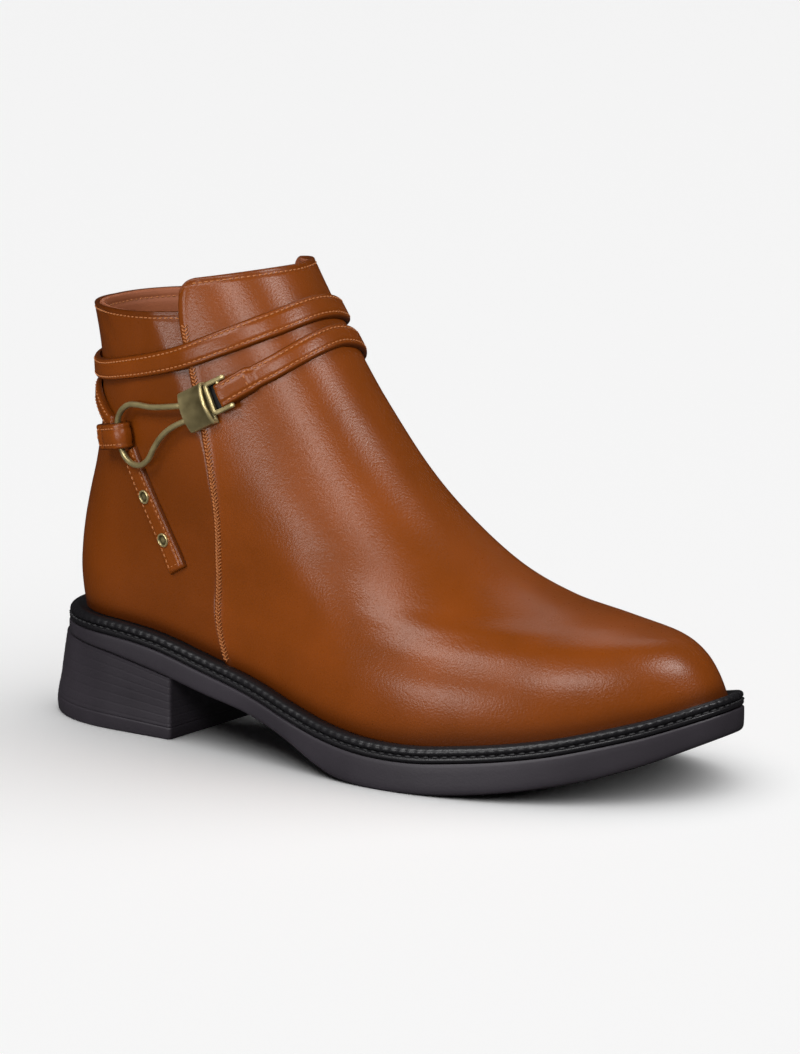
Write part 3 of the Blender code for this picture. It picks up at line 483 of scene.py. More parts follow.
def panel_grid(low_rows=96, middle_columns=150, inset=0.0):
    """The front panel's grid, from the zip round the toe to the outer seam, with round upper corners."""
    count = len(RIM_STEPS)
    middle = np.linspace(0, 1, middle_columns + 1)[1:-1]
    share = np.concatenate([np.zeros(count), middle, np.ones(count)])
    steps = np.concatenate([RIM_STEPS, np.full(len(middle) + count, RIM_STEPS[-1])])
    side = np.minimum(steps, steps[::-1])
    corner = np.clip(CORNER_RADIUS - side, 0, None)
    drop = CORNER_RADIUS - np.sqrt(CORNER_RADIUS**2 - corner**2)

    def zip_edge(rise):
        edge = zip_x(rise) + ZIP_HALF * step_up((rise - ZIP_END + ZIP_LEAD) / ZIP_OPENS)
        return turn_at(rise, edge + inset + steps, INNER)

    def seam_edge(rise):
        return turn_at(rise, seam_x(rise) + inset + steps[::-1], OUTER)

    def collar(turns):
        return collar_top(turns(PANEL_COLLAR), True) - (drop + inset) * RISE_PER_MM

    return sheet_grid(zip_edge, seam_edge, share, side, low_rows, collar)


def quarter_grid(low_rows=80, middle_columns=90, inset=0.0):
    """The rear quarter's grid, from under the lap at the outer seam round the heel to the zip."""
    count = len(RIM_STEPS)
    middle = np.linspace(0, 1, middle_columns + 1)[1:-1]
    share = np.concatenate([np.zeros(len(LAP_STEPS)), middle, np.ones(count)])
    under = np.concatenate([LAP_STEPS, np.full(len(middle) + count, LAP_STEPS[-1])])
    side = np.concatenate([np.full(len(LAP_STEPS) + len(middle), RIM_STEPS[-1]), RIM_STEPS[::-1]])

    def seam_edge(rise):
        return turn_at(rise, seam_x(rise) + under, OUTER)

    def zip_edge(rise):
        closed = step_up((ZIP_END - rise) / ZIP_CLOSES)
        edge = zip_x(rise) - ZIP_HALF + (2 * ZIP_HALF + ZIP_OVERLAP) * closed
        return turn_at(rise, edge - inset - side, INNER) - 2 * math.pi

    def collar(turns):
        return collar_top(turns(QUARTER_COLLAR), False) - inset * RISE_PER_MM

    return sheet_grid(seam_edge, zip_edge, share, side, low_rows, collar)


def stitch_dip(distance, row):
    """The leather is pulled down along a row of stitches: a narrow bell across the row."""
    return -STITCH_DIP * np.exp(-((distance - row) / STITCH_DIP_WIDE)**2)


# Cognac tones: light and middle in clouds, and the dark tone for burnish and painted shade
COGNAC_LIGHT, COGNAC, COGNAC_DARK = "#632e08", "#582804", "#341402"
SHEEN_TINT, SHEEN_LEVEL, COGNAC_ROUGHNESS = "#fbf5f1", 0.19, 0.29
GRAIN_MM, PEBBLE_MM, CLOUD_MM, STRETCH_MM = 0.6, 1.0, 28.0, 5.0
GRAIN_SHARE, STRETCH_SHARE, RELIEF_BUMP, RELIEF_MM = 0.6, 0.5, 0.23, 0.3
COGNAC_STOPS, GLOSS_SPAN = (0.30, 0.72), (-0.06, 0.08)


def add_node(tree, kind, inputs=None, **settings):
    """Add a node, set its own settings, and fill each input with a value or link it to a socket."""
    node = tree.nodes.new(kind)
    for name, value in settings.items():
        setattr(node, name, value)
    for key, value in (inputs or {}).items():
        if isinstance(value, bpy.types.NodeSocket):
            tree.links.new(value, node.inputs[key])
        else:
            node.inputs[key].default_value = value
    return node


def leather_finish(name, light, middle, dark, roughness):
    """Pigmented smooth leather: clouded colour, darker where it is burnished and where shade is painted,
    with a fine pebbled grain.

    The grain of such leather is about 0.3 mm; it is drawn at 0.6 mm so that it shows.
    """
    material, tree, shader = new_finish(name, middle, roughness, specular_ior_level=SHEEN_LEVEL,
                                        specular_tint=linear(SHEEN_TINT))
    place = add_node(tree, "ShaderNodeTexCoord").outputs["Object"]
    cloud, pebble, stretch = (
        add_node(tree, "ShaderNodeTexNoise", {"Vector": place, "Scale": 1 / (size * MM), "Detail": detail})
        for size, detail in ((CLOUD_MM, 4.0), (PEBBLE_MM, 5.0), (STRETCH_MM, 2.0)))
    tone = add_node(tree, "ShaderNodeValToRGB", {"Fac": cloud.outputs["Fac"]})
    for stop, position, colour in zip(tone.color_ramp.elements, COGNAC_STOPS, (middle, light)):
        stop.position = position
        stop.color = linear(colour)
    # The dark tone mixes in by each point's amount: burnish, and painted shade
    burnish_and_shade = add_node(tree, "ShaderNodeAttribute", attribute_name="burnish_and_shade")
    mixed = add_node(tree, "ShaderNodeMix", {
        "Factor": burnish_and_shade.outputs["Fac"], "A": tone.outputs["Color"], "B": linear(dark)}, data_type="RGBA")
    tree.links.new(mixed.outputs["Result"], shader.inputs["Base Color"])
    grain = add_node(tree, "ShaderNodeTexVoronoi", {"Vector": place, "Scale": 1 / (GRAIN_MM * MM)},
                     feature="SMOOTH_F1")
    relief = pebble.outputs["Fac"]
    layers = ((grain.outputs["Distance"], GRAIN_SHARE), (stretch.outputs["Fac"], STRETCH_SHARE))
    for height, weight in layers:
        relief = add_node(tree, "ShaderNodeMath", {0: height, 1: weight, 2: relief},
                          operation="MULTIPLY_ADD").outputs[0]
    bump = add_node(tree, "ShaderNodeBump", {
        "Height": relief, "Strength": RELIEF_BUMP, "Distance": RELIEF_MM * MM})
    tree.links.new(bump.outputs["Normal"], shader.inputs["Normal"])
    smooth, rough = (roughness + change for change in GLOSS_SPAN)
    gloss = add_node(tree, "ShaderNodeMapRange", {
        "Value": pebble.outputs["Fac"], "To Min": smooth, "To Max": rough})
    tree.links.new(gloss.outputs["Result"], shader.inputs["Roughness"])
    return material


def burnish_and_shade(piece, amounts, skins=1):
    """Keep a darkening amount for each point of a piece, burnish and painted shade together, the same on
    each skin, for its finish to read.
    """
    layer = piece.data.attributes.new("burnish_and_shade", "FLOAT", "POINT")
    layer.data.foreach_set("value", np.tile(np.clip(amounts, 0, 1).astype(np.float32).ravel(), skins))


cognac = leather_finish("cognac_leather", COGNAC_LIGHT, COGNAC, COGNAC_DARK, COGNAC_ROUGHNESS)
# Painted shade near the welt and burnish near an edge: amount and reach in rise, amount and reach in
# millimetres
WELT_PAINTED_SHADE, WELT_PAINTED_SHADE_HIGH, EDGE_BURNISH, EDGE_BURNISH_WIDE = 0.85, 0.035, 0.55, 1.0
# Quarter under the panel's lap: painted shade there, how far it sinks in millimetres, and the ramp's length
# in millimetres
LAP_PAINTED_SHADE, LAP_SINK, LAP_RAMP = 0.5, 0.85, 1.6
SEAM_ROWS = (1.75, 2.85)
SEAM_RIDGE, SEAM_RIDGE_WIDE = 0.38, 1.25
# Facet beside the seam: depth at the collar, length along it, loss of length per millimetre down, height
PINCH_DEEP, PINCH_LONG, PINCH_SLANT, PINCH_HIGH = 2.9, 12.0, 0.30, 36.0
# Painted shade over the whole rear quarter, darker than the front panel as if it were turned from the light
QUARTER_PAINTED_SHADE = 0.26
COLLAR_ROW = 1.9
ZIP_ROWS = (1.5, 4.0)


def seam_pinch(rise, turn):
    """How far the quarter is drawn in beside the seam: a flat facet that widens up to the collar."""
    gap = seam_x(rise) - last_point(rise, turn)[..., 0]
    down = np.clip((COLLAR_REAR - rise) / RISE_PER_MM, 0, PINCH_HIGH)
    near = np.clip(1 - gap / (PINCH_LONG - PINCH_SLANT * down), 0, 1)
    return PINCH_DEEP * np.where(np.sin(turn) < 0, near, 0) * (1 - down / PINCH_HIGH)


def shade_and_burnish_share(rise, edge):
    """Where the leather is darkened: a bell of painted shade up from the welt, and burnish in from its
    edges.
    """
    low = WELT_PAINTED_SHADE * np.exp(-(rise / WELT_PAINTED_SHADE_HIGH)**2)
    return low + EDGE_BURNISH * np.exp(-edge / EDGE_BURNISH_WIDE)


rise, turn, side, top = panel_grid()
lateral = np.sin(turn) < 0
rows = stitch_dip(top, COLLAR_ROW)
for row in ZIP_ROWS:
    rows = np.minimum(rows, np.where(lateral, 0, stitch_dip(side, row)))
ridge = SEAM_RIDGE * np.exp(-((side - np.mean(SEAM_ROWS)) / SEAM_RIDGE_WIDE)**2) * lateral
edge = np.minimum(side, top)
fall = turned_edge(edge, LEATHER_THICK)
outer_lift = 0.5 * LAP + rows + ridge + crease_lift(rise, turn)
front_panel = shell("front_panel", lifted(rise, turn, outer_lift - fall),
                    lifted(rise, turn, 0.5 * LAP - LEATHER_THICK + fall), cognac)
# Panel darkening: painted shade up from the welt, burnish at its edges
burnish_and_shade(front_panel, shade_and_burnish_share(rise, edge), skins=2)
dress(front_panel, "boot", "leather", "upper")

rise, turn, side, top = quarter_grid()
rows = stitch_dip(top, COLLAR_ROW)
for row in ZIP_ROWS:
    rows = np.minimum(rows, stitch_dip(side, row))
edge = np.minimum(side, top)
x = last_point(rise, turn)[..., 0]
at_seam = step_up((x - seam_x(rise)) / LAP_RAMP + 0.5)
at_zip = step_up((x - zip_x(rise) + ZIP_HALF) / ZIP_OVERLAP)
lapped = np.where(np.sin(turn) < 0, at_seam, np.where(np.sin(turn) > 0, at_zip, 0))
fall = turned_edge(edge, LEATHER_THICK)
pinch = seam_pinch(rise, turn)
outer_lift = -0.5 * LAP - fall - LAP_SINK * lapped + (rows + crease_lift(rise, turn)) * (1 - lapped) - pinch
inner_lift = -0.5 * LAP - LEATHER_THICK + fall - pinch
rear_quarter = shell("rear_quarter", lifted(rise, turn, outer_lift), lifted(rise, turn, inner_lift), cognac)
# The quarter's darkening: burnish at its edges, and painted shade up from the welt, under the panel's lap
# and over the whole quarter
burnish_and_shade(rear_quarter, shade_and_burnish_share(rise, edge) + LAP_PAINTED_SHADE * lapped + QUARTER_PAINTED_SHADE, skins=2)
dress(rear_quarter, "boot", "leather")

# Stitching of the upper: pale tan thread in rows along the edges, a pair of slanted rows
# like a braid down the outer seam, and two rows round the zip. A stitch is a short bent rod.
THREAD, THREAD_ROUGHNESS = "#85502a", 0.55
STITCH_ALONG = np.array([0.0, 0.18, 0.5, 0.82, 1.0])
STITCH_SINK = np.array([-0.7, 0.12, 0.32, 0.12, -0.7])
STITCH_GIRTH = np.array([0.6, 1.0, 1.05, 1.0, 0.6])
STITCH_SIDES = 6
STITCH_LONG, STITCH_PITCH, STITCH_THICK = 1.55, 2.05, 0.46
BRAID_LONG, BRAID_PITCH, BRAID_THICK, BRAID_SLANT = 1.45, 1.25, 0.72, 0.80
BRAID_RISE, BRAID_SEAT = (0.012, 0.885), 0.75
ZIP_RADII = (4.8, 7.3)
ZIP_ROW_TOPS = (0.945, 0.875)
# Ends of the collar's rows: distances from the seam and from the zip, on the quarter and on the panel
QUARTER_ROW_ENDS, PANEL_ROW_ENDS = (1.5, 6.5), (5.0, 9.0)
ROW_RISE, ROW_POINTS, BEND_POINTS = 0.9, 300, 60
WALL_RAMP = 2.0
DULL_LEVEL = 0.25
TWIST_MM, TWIST_BUMP, TWIST_DEEP_MM = 0.5, 0.5, 0.1


def thread_finish(name, colour, roughness):
    """Spun polyester thread: nearly matt, broken by the twist of its plies, drawn at half a millimetre."""
    material, tree, shader = new_finish(name, colour, roughness, specular_ior_level=DULL_LEVEL)
    place = add_node(tree, "ShaderNodeTexCoord").outputs["Object"]
    plies = add_node(tree, "ShaderNodeTexNoise", {"Vector": place, "Scale": 1 / (TWIST_MM * MM)})
    bump = add_node(tree, "ShaderNodeBump", {
        "Height": plies.outputs["Fac"], "Strength": TWIST_BUMP, "Distance": TWIST_DEEP_MM * MM})
    tree.links.new(bump.outputs["Normal"], shader.inputs["Normal"])
    return material


def round_angles(count):
    """Angles at an even step once round."""
    return np.arange(count) * 2 * math.pi / count


def stitch_piece(name, runs, material, long=STITCH_LONG, pitch=STITCH_PITCH, thick=STITCH_THICK, slant=0.0):
    """Stitches along runs of points: each is a rod of rings that dives into the leather at both ends.

    The rods lie a pitch apart along a run; slant moves their ends across it by that share of their length.
    """
    angle = round_angles(STITCH_SIDES)
    rods = []
    for points, outward in runs:
        gone = distance_along(points)
        count = int(gone[-1] / pitch)
        start = (np.arange(count) + 0.5) * gone[-1] / count - 0.5 * long
        at = start[:, None] + STITCH_ALONG * long
        place = np.stack([np.interp(at, gone, points[:, k]) for k in range(3)], axis=-1)
        out = unit(np.stack([np.interp(at, gone, outward[:, k]) for k in range(3)], axis=-1))
        ahead = unit(np.gradient(place, axis=1))
        beside = unit(np.cross(out, ahead))
        lean = slant * (STITCH_ALONG - 0.5) * long
        place = place + beside * lean[:, None] + out * (STITCH_SINK * thick)[:, None]
        circle = np.cos(angle)[:, None] * beside[..., None, :] + np.sin(angle)[:, None] * out[..., None, :]
        girth = (0.5 * thick * STITCH_GIRTH)[:, None, None]
        rods.append((place[..., None, :] + girth * circle).reshape(-1, 3))
    points = np.concatenate(rods)
    each = len(STITCH_ALONG) * STITCH_SIDES
    first = np.arange(0, len(points), each)[:, None, None]
    sides = (grid_faces(len(STITCH_ALONG), STITCH_SIDES, wrap=True) + first).reshape(-1, 4)
    ends = np.stack([np.arange(STITCH_SIDES)[::-1], np.arange(each - STITCH_SIDES, each)])
    caps = (ends + first).reshape(-1, STITCH_SIDES)
    return mesh_piece(name, metres(points), sides.tolist() + caps.tolist(), material)


def wall_lift(rise, turn):
    """The leather's outer lift: low on the rear quarter, high on the front panel, a short ramp between."""
    x = last_point(rise, turn)[..., 0]
    seam = step_up((x - seam_x(rise)) / WALL_RAMP + 1)
    panel = np.where(x > zip_x(rise), 1.0, 0.0)
    return LAP * (np.where(np.sin(turn) < 0, seam, panel) - 0.5)


def run_on_wall(rise, turn, lift):
    """A run for stitches: points at a lift off the form with the form's outward directions."""
    return lifted(rise, turn, lift + np.zeros(np.shape(turn))), last_normal(rise, turn)


thread = thread_finish("tan_thread", THREAD, THREAD_ROUGHNESS)
seam_rise = np.linspace(*BRAID_RISE, 400)
seam_runs = []
for row in SEAM_ROWS:
    row_turn = turn_at(seam_rise, seam_x(seam_rise) + row, OUTER)
    seam_runs.append(run_on_wall(seam_rise, row_turn, 0.5 * LAP + BRAID_SEAT * SEAM_RIDGE))
for number, (run, lean) in enumerate(zip(seam_runs, (BRAID_SLANT, -BRAID_SLANT))):
    name = "seam_braid_%d" % number
    braid = stitch_piece(name, [run], thread, BRAID_LONG, BRAID_PITCH, BRAID_THICK, slant=lean)
    dress(braid, "boot", "leather")

edge_runs = []
from_seam = turn_at(ROW_RISE, seam_x(ROW_RISE) - QUARTER_ROW_ENDS[0], OUTER)
to_zip = turn_at(ROW_RISE, zip_x(ROW_RISE) - QUARTER_ROW_ENDS[1], INNER) - 2 * math.pi
quarter_turn = np.linspace(from_seam, to_zip, ROW_POINTS)
quarter_rise = collar_top(quarter_turn, False) - COLLAR_ROW * RISE_PER_MM
quarter_lift = -0.5 * LAP - STITCH_DIP - seam_pinch(quarter_rise, quarter_turn)
edge_runs.append(run_on_wall(quarter_rise, quarter_turn, quarter_lift))
from_zip = turn_at(PANEL_COLLAR, zip_x(PANEL_COLLAR) + PANEL_ROW_ENDS[1], INNER)
to_seam = turn_at(PANEL_COLLAR, seam_x(PANEL_COLLAR) + PANEL_ROW_ENDS[0], OUTER)
panel_turn = np.linspace(from_zip, to_seam, ROW_POINTS)
panel_rise = collar_top(panel_turn, True) - COLLAR_ROW * RISE_PER_MM
edge_runs.append(run_on_wall(panel_rise, panel_turn, 0.5 * LAP - STITCH_DIP))
for radius in ZIP_RADII:
    arc = np.linspace(0, math.pi, BEND_POINTS)
    down = np.linspace(ZIP_ROW_TOPS[0], ZIP_END, ROW_POINTS)
    up = np.linspace(ZIP_END, ZIP_ROW_TOPS[1], ROW_POINTS)
    u_rise = np.concatenate([down, ZIP_END - radius * RISE_PER_MM * np.sin(arc), up])
    straight = np.full(ROW_POINTS, radius)
    u_side = np.concatenate([straight, radius * np.cos(arc), -straight])
    u_turn = turn_at(u_rise, zip_x(u_rise) + u_side, INNER)
    edge_runs.append(run_on_wall(u_rise, u_turn, wall_lift(u_rise, u_turn) - 0.5 * STITCH_DIP))
edge_stitches = stitch_piece("upper_edge_stitches", edge_runs, thread)
dress(edge_stitches, "boot", "leather")

# Lining: thin tan leather glued inside both parts of the upper, set a little below the turned
# edges of the collar and of the zip. A foam strip pads it at the collar, under a row of stitches.
LINING_COLOURS, LINING_ROUGHNESS = ("#743b15", "#622d0d"), 0.72
LINING_CLOUD_MM, LINING_GRAIN_MM, LINING_BUMP, LINING_DEEP_MM = 14.0, 1.4, 0.35, 0.3
LINING_INSET = 0.45
LINING_TOP, LINING_LOW, LINING_THICK = -1.15, -1.95, 0.5
PAD_THICK, PAD_HIGH, PAD_SIDE, PAD_SIDE_RUN = 1.5, 9.0, 5.5, 3.5
PAD_ROW, PAD_ROW_DIP, PAD_ROW_WIDE, PAD_LEAST = 3.4, 0.35, 0.8, 0.5
# The panel's lining steps down beside the quarter's: run in from the edge, and rise at the quarter's top
STEP_SIDE_RUN, STEP_TOP_RUN = 3.0, 0.008


def blotched_finish(name, colours, roughness, cloud, grain, bump, **sockets):
    """A skin of two near colours in soft clouds, with an even fine grain.

    Clouds and grain are noises, each with its size in millimetres and its detail; bump has the
    grain's strength and its depth in millimetres.
    """
    material, tree, shader = new_finish(name, colours[0], roughness, **sockets)
    place = add_node(tree, "ShaderNodeTexCoord").outputs["Object"]
    clouds, pores = (
        add_node(tree, "ShaderNodeTexNoise", {"Vector": place, "Scale": 1 / (size * MM), "Detail": detail})
        for size, detail in (cloud, grain))
    tone = add_node(tree, "ShaderNodeMix", {
        "Factor": clouds.outputs["Fac"], "A": linear(colours[0]), "B": linear(colours[1])}, data_type="RGBA")
    tree.links.new(tone.outputs["Result"], shader.inputs["Base Color"])
    relief = add_node(tree, "ShaderNodeBump", {
        "Height": pores.outputs["Fac"], "Strength": bump[0], "Distance": bump[1] * MM})
    tree.links.new(relief.outputs["Normal"], shader.inputs["Normal"])
    return material


def lining_thick(top, side):
    """The lining's thickness: thin, with a pad that swells at the collar, pulled in at its stitches."""
    pad = PAD_THICK * np.exp(-(top / PAD_HIGH)**4) * step_up((side - PAD_SIDE) / PAD_SIDE_RUN)
    pull = PAD_ROW_DIP * np.exp(-((top - PAD_ROW) / PAD_ROW_WIDE)**2)
    return LINING_THICK + pad - pull * (pad > PAD_LEAST)


def lining_piece(name, rise, turn, side, top, lift):
    """A lining of a grid: two skins that round towards each other at the edges."""
    thick = lining_thick(top, side)
    fall = turned_edge(np.minimum(side, top), thick)
    return shell(name, lifted(rise, turn, lift - fall), lifted(rise, turn, lift - thick + fall), tan_lining)


# Unfinished lining leather: matt, slightly blotched, with a soft close grain
tan_lining = blotched_finish("tan_lining_leather", LINING_COLOURS, LINING_ROUGHNESS, (LINING_CLOUD_MM, 5.0),
                             (LINING_GRAIN_MM, 6.0), (LINING_BUMP, LINING_DEEP_MM))
rise, turn, side, top = panel_grid(low_rows=60, middle_columns=90, inset=LINING_INSET)
beside_lap = 1 - step_up((side - PAD_SIDE) / STEP_SIDE_RUN)
below_top = step_up((COLLAR_REAR - rise) / STEP_TOP_RUN + 0.5)
lift = LINING_TOP + (LINING_LOW - LINING_TOP) * beside_lap * below_top
front_lining = lining_piece("front_lining", rise, turn, side, top, lift)
dress(front_lining, "boot", "lining")
rise, turn, side, top = quarter_grid(low_rows=50, middle_columns=60, inset=LINING_INSET)
lift = LINING_LOW - seam_pinch(rise, turn)
rear_lining = lining_piece("rear_lining", rise, turn, side, top, lift)
dress(rear_lining, "boot", "lining")
inside_runs = []
for run_turn, panel, face in ((quarter_turn, False, LINING_LOW), (panel_turn, True, LINING_TOP)):
    run_rise = collar_top(run_turn, panel) - (LINING_INSET + PAD_ROW) * RISE_PER_MM
    face = face - (0 if panel else seam_pinch(run_rise, run_turn))
    places, outward = run_on_wall(run_rise, run_turn, face - lining_thick(PAD_ROW, RIM_STEPS[-1]))
    inside_runs.append((places, -outward))
inside_stitches = stitch_piece("lining_stitches", inside_runs, thread)
dress(inside_stitches, "boot", "lining")

# Insole: a thin board covered with the lining leather, laid on the sole inside the upper,
# slightly cupped under the heel and rounded down at its edges.
INSOLE_OFFSET, INSOLE_LOW, INSOLE_THICK = -3.1, 0.3, 2.5
INSOLE_CUP, INSOLE_CUP_END, INSOLE_CUP_RUN = 0.9, 80.0, 50.0
INSOLE_EDGE, INSOLE_EDGE_POWER = 0.6, 12


def sole_plan(offset, turn):
    """The foot's outline in plan, moved out by an offset square to itself."""
    step = 1e-3
    along = last_point(0.0, turn + step)[..., :2] - last_point(0.0, turn - step)[..., :2]
    outward = unit(np.stack([along[..., 1], -along[..., 0]], axis=-1))
    return last_point(0.0, turn)[..., :2] + outward * np.asarray(offset)[..., None]


def sole_height(name, x):
    """One of the sole's heights at a place along the foot."""
    return column(SOLE, SOLE_COLUMNS, name, sole_share(x))


def across_sole(offset, turn, share):
    """Plan points over the whole sole: straight lines from its outer side to its inner side at each turn."""
    outer = sole_plan(offset, -turn)[:, None]
    inner = sole_plan(offset, turn)[:, None]
    return outer + (inner - outer) * share[:, None]


def joined_grids(name, grids, material):
    """Grids of points joined into one closed skin; each says if it goes right round and if it faces back."""
    points, faces, count = [], [], 0
    for grid, wrap, back in grids:
        quads = grid_faces(*grid.shape[:2], wrap=wrap) + count
        faces.append(quads[:, ::-1] if back else quads)
        points.append(grid.reshape(-1, 3))
        count += len(points[-1])
    skin = np.concatenate(faces).tolist()
    return mesh_piece(name, metres(np.concatenate(points)), skin, material, weld=True)


half_turn = np.linspace(0, math.pi, 121)
share = np.linspace(0, 1, 31)
plan = across_sole(INSOLE_OFFSET, half_turn, share)
bottom = sole_height("feather_z", plan[..., 0]) + INSOLE_LOW
middle = np.abs(2 * share - 1)
cup = INSOLE_CUP * (1 - middle**2) * step_up((INSOLE_CUP_END - plan[..., 0]) / INSOLE_CUP_RUN)
crown = INSOLE_THICK - cup - INSOLE_EDGE * middle**INSOLE_EDGE_POWER
insole = shell("insole_sock", np.dstack([plan, bottom + crown]), np.dstack([plan, bottom]), tan_lining,
               weld=True)
dress(insole, "boot", "lining", "insole")

# Welt: a black rubber strip round the foot, with a round upper bead pressed into crimps, a
# groove with a row of black lock stitches, and a lower lip that sits on the outsole.
WELT_COLOURS, WELT_ROUGHNESS = ("#0d0c0e", "#151416"), 0.36
WELT_THREAD, WELT_THREAD_ROUGHNESS = "#131214", 0.6
# Welt section from its inner bottom edge out and over: offset from the outline, drop under the upper's edge
WELT_SECTION = np.array([
    (-6.0, 4.75),
    (4.4, 4.75),
    (5.1, 4.7),
    (5.5, 4.45),
    (5.7, 4.05),
    (5.75, 3.6),
    (5.65, 3.2),
    (5.35, 2.9),
    (4.9, 2.75),
    (4.55, 2.55),
    (4.75, 2.3),
    (5.2, 2.1),
    (5.5, 1.75),
    (5.6, 1.25),
    (5.45, 0.6),
    (5.0, 0.0),
    (4.3, -0.45),
    (3.4, -0.65),
    (2.5, -0.55),
    (1.6, -0.2),
    (0.9, 0.1),
    (0.0, 0.2),
    (-6.0, 0.2),
])
CRIMP_PITCH, CRIMP_DEEP, CRIMP_DROP, CRIMP_WIDE = 3.3, 0.32, 1.2, 1.0
WELT_STITCH_LONG, WELT_STITCH_THICK = 2.4, 0.75
# Places on the welt, as offset and drop: its bead and its row of stitches; its face starts at an offset
WELT_BEAD, WELT_STITCH_PLACE, WELT_FACE = (5.5, 1.2), (5.35, 2.72), 3.0
RUBBER_GRAIN_MM, RUBBER_BUMP, RUBBER_DEEP_MM = 0.8, 0.25, 0.2


def moulded_finish(name, colours, roughness, grain=RUBBER_GRAIN_MM):
    """Moulded rubber, nylon or baked enamel: an even colour with faint clouds and an orange-peel skin."""
    return blotched_finish(name, colours, roughness, (CLOUD_MM, 6.0), (grain, 3.0),
                           (RUBBER_BUMP, RUBBER_DEEP_MM), specular_ior_level=DULL_LEVEL)


def ring_turns(count):
    """Turns once round the foot from the toe: along the inner side, then back along the outer side."""
    half = np.linspace(0, math.pi, count)
    return np.concatenate([half, -half[-2:0:-1]])


def torus(name, points, material):
    """A closed skin over a grid that joins up both ways."""
    rows, columns = points.shape[:2]
    faces = grid_faces(rows + 1, columns, wrap=True) % (rows * columns)
    return mesh_piece(name, metres(points), faces.tolist(), material)


def sole_ring(turn, offset, name, drop):
    """Points round the sole at offsets from the foot's outline and drops under one of the side's lines."""
    plan = sole_plan(offset, turn)
    return np.concatenate([plan, (sole_height(name, plan[..., 0]) - drop)[..., None]], axis=-1)


welt_black = moulded_finish("black_welt_rubber", WELT_COLOURS, WELT_ROUGHNESS)
turns = ring_turns(500)
line = sole_ring(turns, WELT_BEAD[0], "feather_z", WELT_BEAD[1])
gone = distance_along(line)
crimps = np.round(gone[-1] / CRIMP_PITCH)
whole = gone[-1] + np.linalg.norm(line[0] - line[-1])
press = CRIMP_DEEP * (0.5 + 0.5 * np.cos(2 * math.pi * crimps * gone / whole))**3
outer_part = WELT_SECTION[:, :1] > WELT_FACE
near = np.exp(-((WELT_SECTION[:, 1:] - CRIMP_DROP) / CRIMP_WIDE)**2) * outer_part
offset = WELT_SECTION[:, :1] - press * near
welt = torus("welt_strip", sole_ring(turns, offset, "feather_z", WELT_SECTION[:, 1:]), welt_black)
dress(welt, "boot", "welt_rubber", "welt")
welt_thread = thread_finish("black_welt_thread", WELT_THREAD, WELT_THREAD_ROUGHNESS)
stitch_line = sole_ring(turns, WELT_STITCH_PLACE[0], "feather_z", WELT_STITCH_PLACE[1])
stitch_line = np.concatenate([stitch_line, stitch_line[:1]])
flat_out = unit(np.gradient(stitch_line, axis=0)[:, [1, 0, 2]] * (1, -1, 0)) + (0, 0, 0.5)
welt_stitches = stitch_piece("welt_stitches", [(stitch_line, unit(flat_out))], welt_thread,
                             WELT_STITCH_LONG, CRIMP_PITCH, WELT_STITCH_THICK)
dress(welt_stitches, "boot", "welt_rubber")

# Outsole: one charcoal rubber moulding with a smooth side, a rounded lower edge and
# shallow wavy grooves under the forefoot, cemented under the welt.
SOLE_COLOURS, SOLE_ROUGHNESS = ("#1a171b", "#2b272c"), 0.5
# Outsole side, lowest first: offset from the outline, share of the way up to the welt
OUTSOLE_SIDE = np.array([
    (4.3, 0.0),
    (4.9, 0.02),
    (5.35, 0.055),
    (5.65, 0.11),
    (5.82, 0.2),
    (5.9, 0.34),
    (5.92, 0.5),
    (5.92, 0.7),
    (5.9, 0.9),
    (5.8, 0.955),
    (5.5, 1.0),
])
WELT_BOTTOM = 5.0
TREAD_PITCH, TREAD_DEEP, TREAD_WAVE, TREAD_WAVE_LONG = 6.5, 0.9, 2.2, 17.0
TREAD_FROM, TREAD_TO, TREAD_MARGIN = 118.0, 236.0, 0.12
TREAD_GROOVE, TREAD_END_RUN, TREAD_SIDE_RUN = 0.14, 4.0, 0.03


def tread(plan, share):
    """Wavy grooves across the forefoot: narrow bells at an even pitch, faded out at their margins."""
    along = plan[..., 0] + TREAD_WAVE * np.sin(2 * math.pi * plan[..., 1] / TREAD_WAVE_LONG)
    phase = (along / TREAD_PITCH) % 1.0
    groove = np.exp(-((phase - 0.5) / TREAD_GROOVE)**2)
    ends = np.minimum(plan[..., 0] - TREAD_FROM, TREAD_TO - plan[..., 0]) / TREAD_END_RUN
    margins = (np.minimum(share, 1 - share) - TREAD_MARGIN) / TREAD_SIDE_RUN
    return TREAD_DEEP * groove * step_up(ends) * step_up(margins)


charcoal = moulded_finish("charcoal_sole_rubber", SOLE_COLOURS, SOLE_ROUGHNESS)
half_count = 240
turns = ring_turns(half_count)
low = sole_ring(turns, OUTSOLE_SIDE[:, :1], "outsole_bottom_z", 0.0)
high = sole_ring(turns, OUTSOLE_SIDE[:, :1], "feather_z", WELT_BOTTOM)
sides = low + (high - low) * OUTSOLE_SIDE[:, 1:, None] * (0, 0, 1)
sides[..., 2] = np.maximum(sides[..., 2], 0)
share = np.linspace(0, 1, 65)
half_turn = np.linspace(0, math.pi, half_count)
plan = across_sole(OUTSOLE_SIDE[0, 0], half_turn, share)
edge_z = np.maximum(sole_height("outsole_bottom_z", plan[..., 0]), 0)
underside = np.dstack([plan, edge_z + tread(plan, share)])
plan = across_sole(OUTSOLE_SIDE[-1, 0], half_turn, share)
upside = np.dstack([plan, sole_height("feather_z", plan[..., 0]) - WELT_BOTTOM])
outsole = joined_grids("outsole_rubber", (
    (sides, True, False), (underside, False, True), (upside, False, False)), charcoal)
dress(outsole, "boot", "sole_rubber", "outsole")

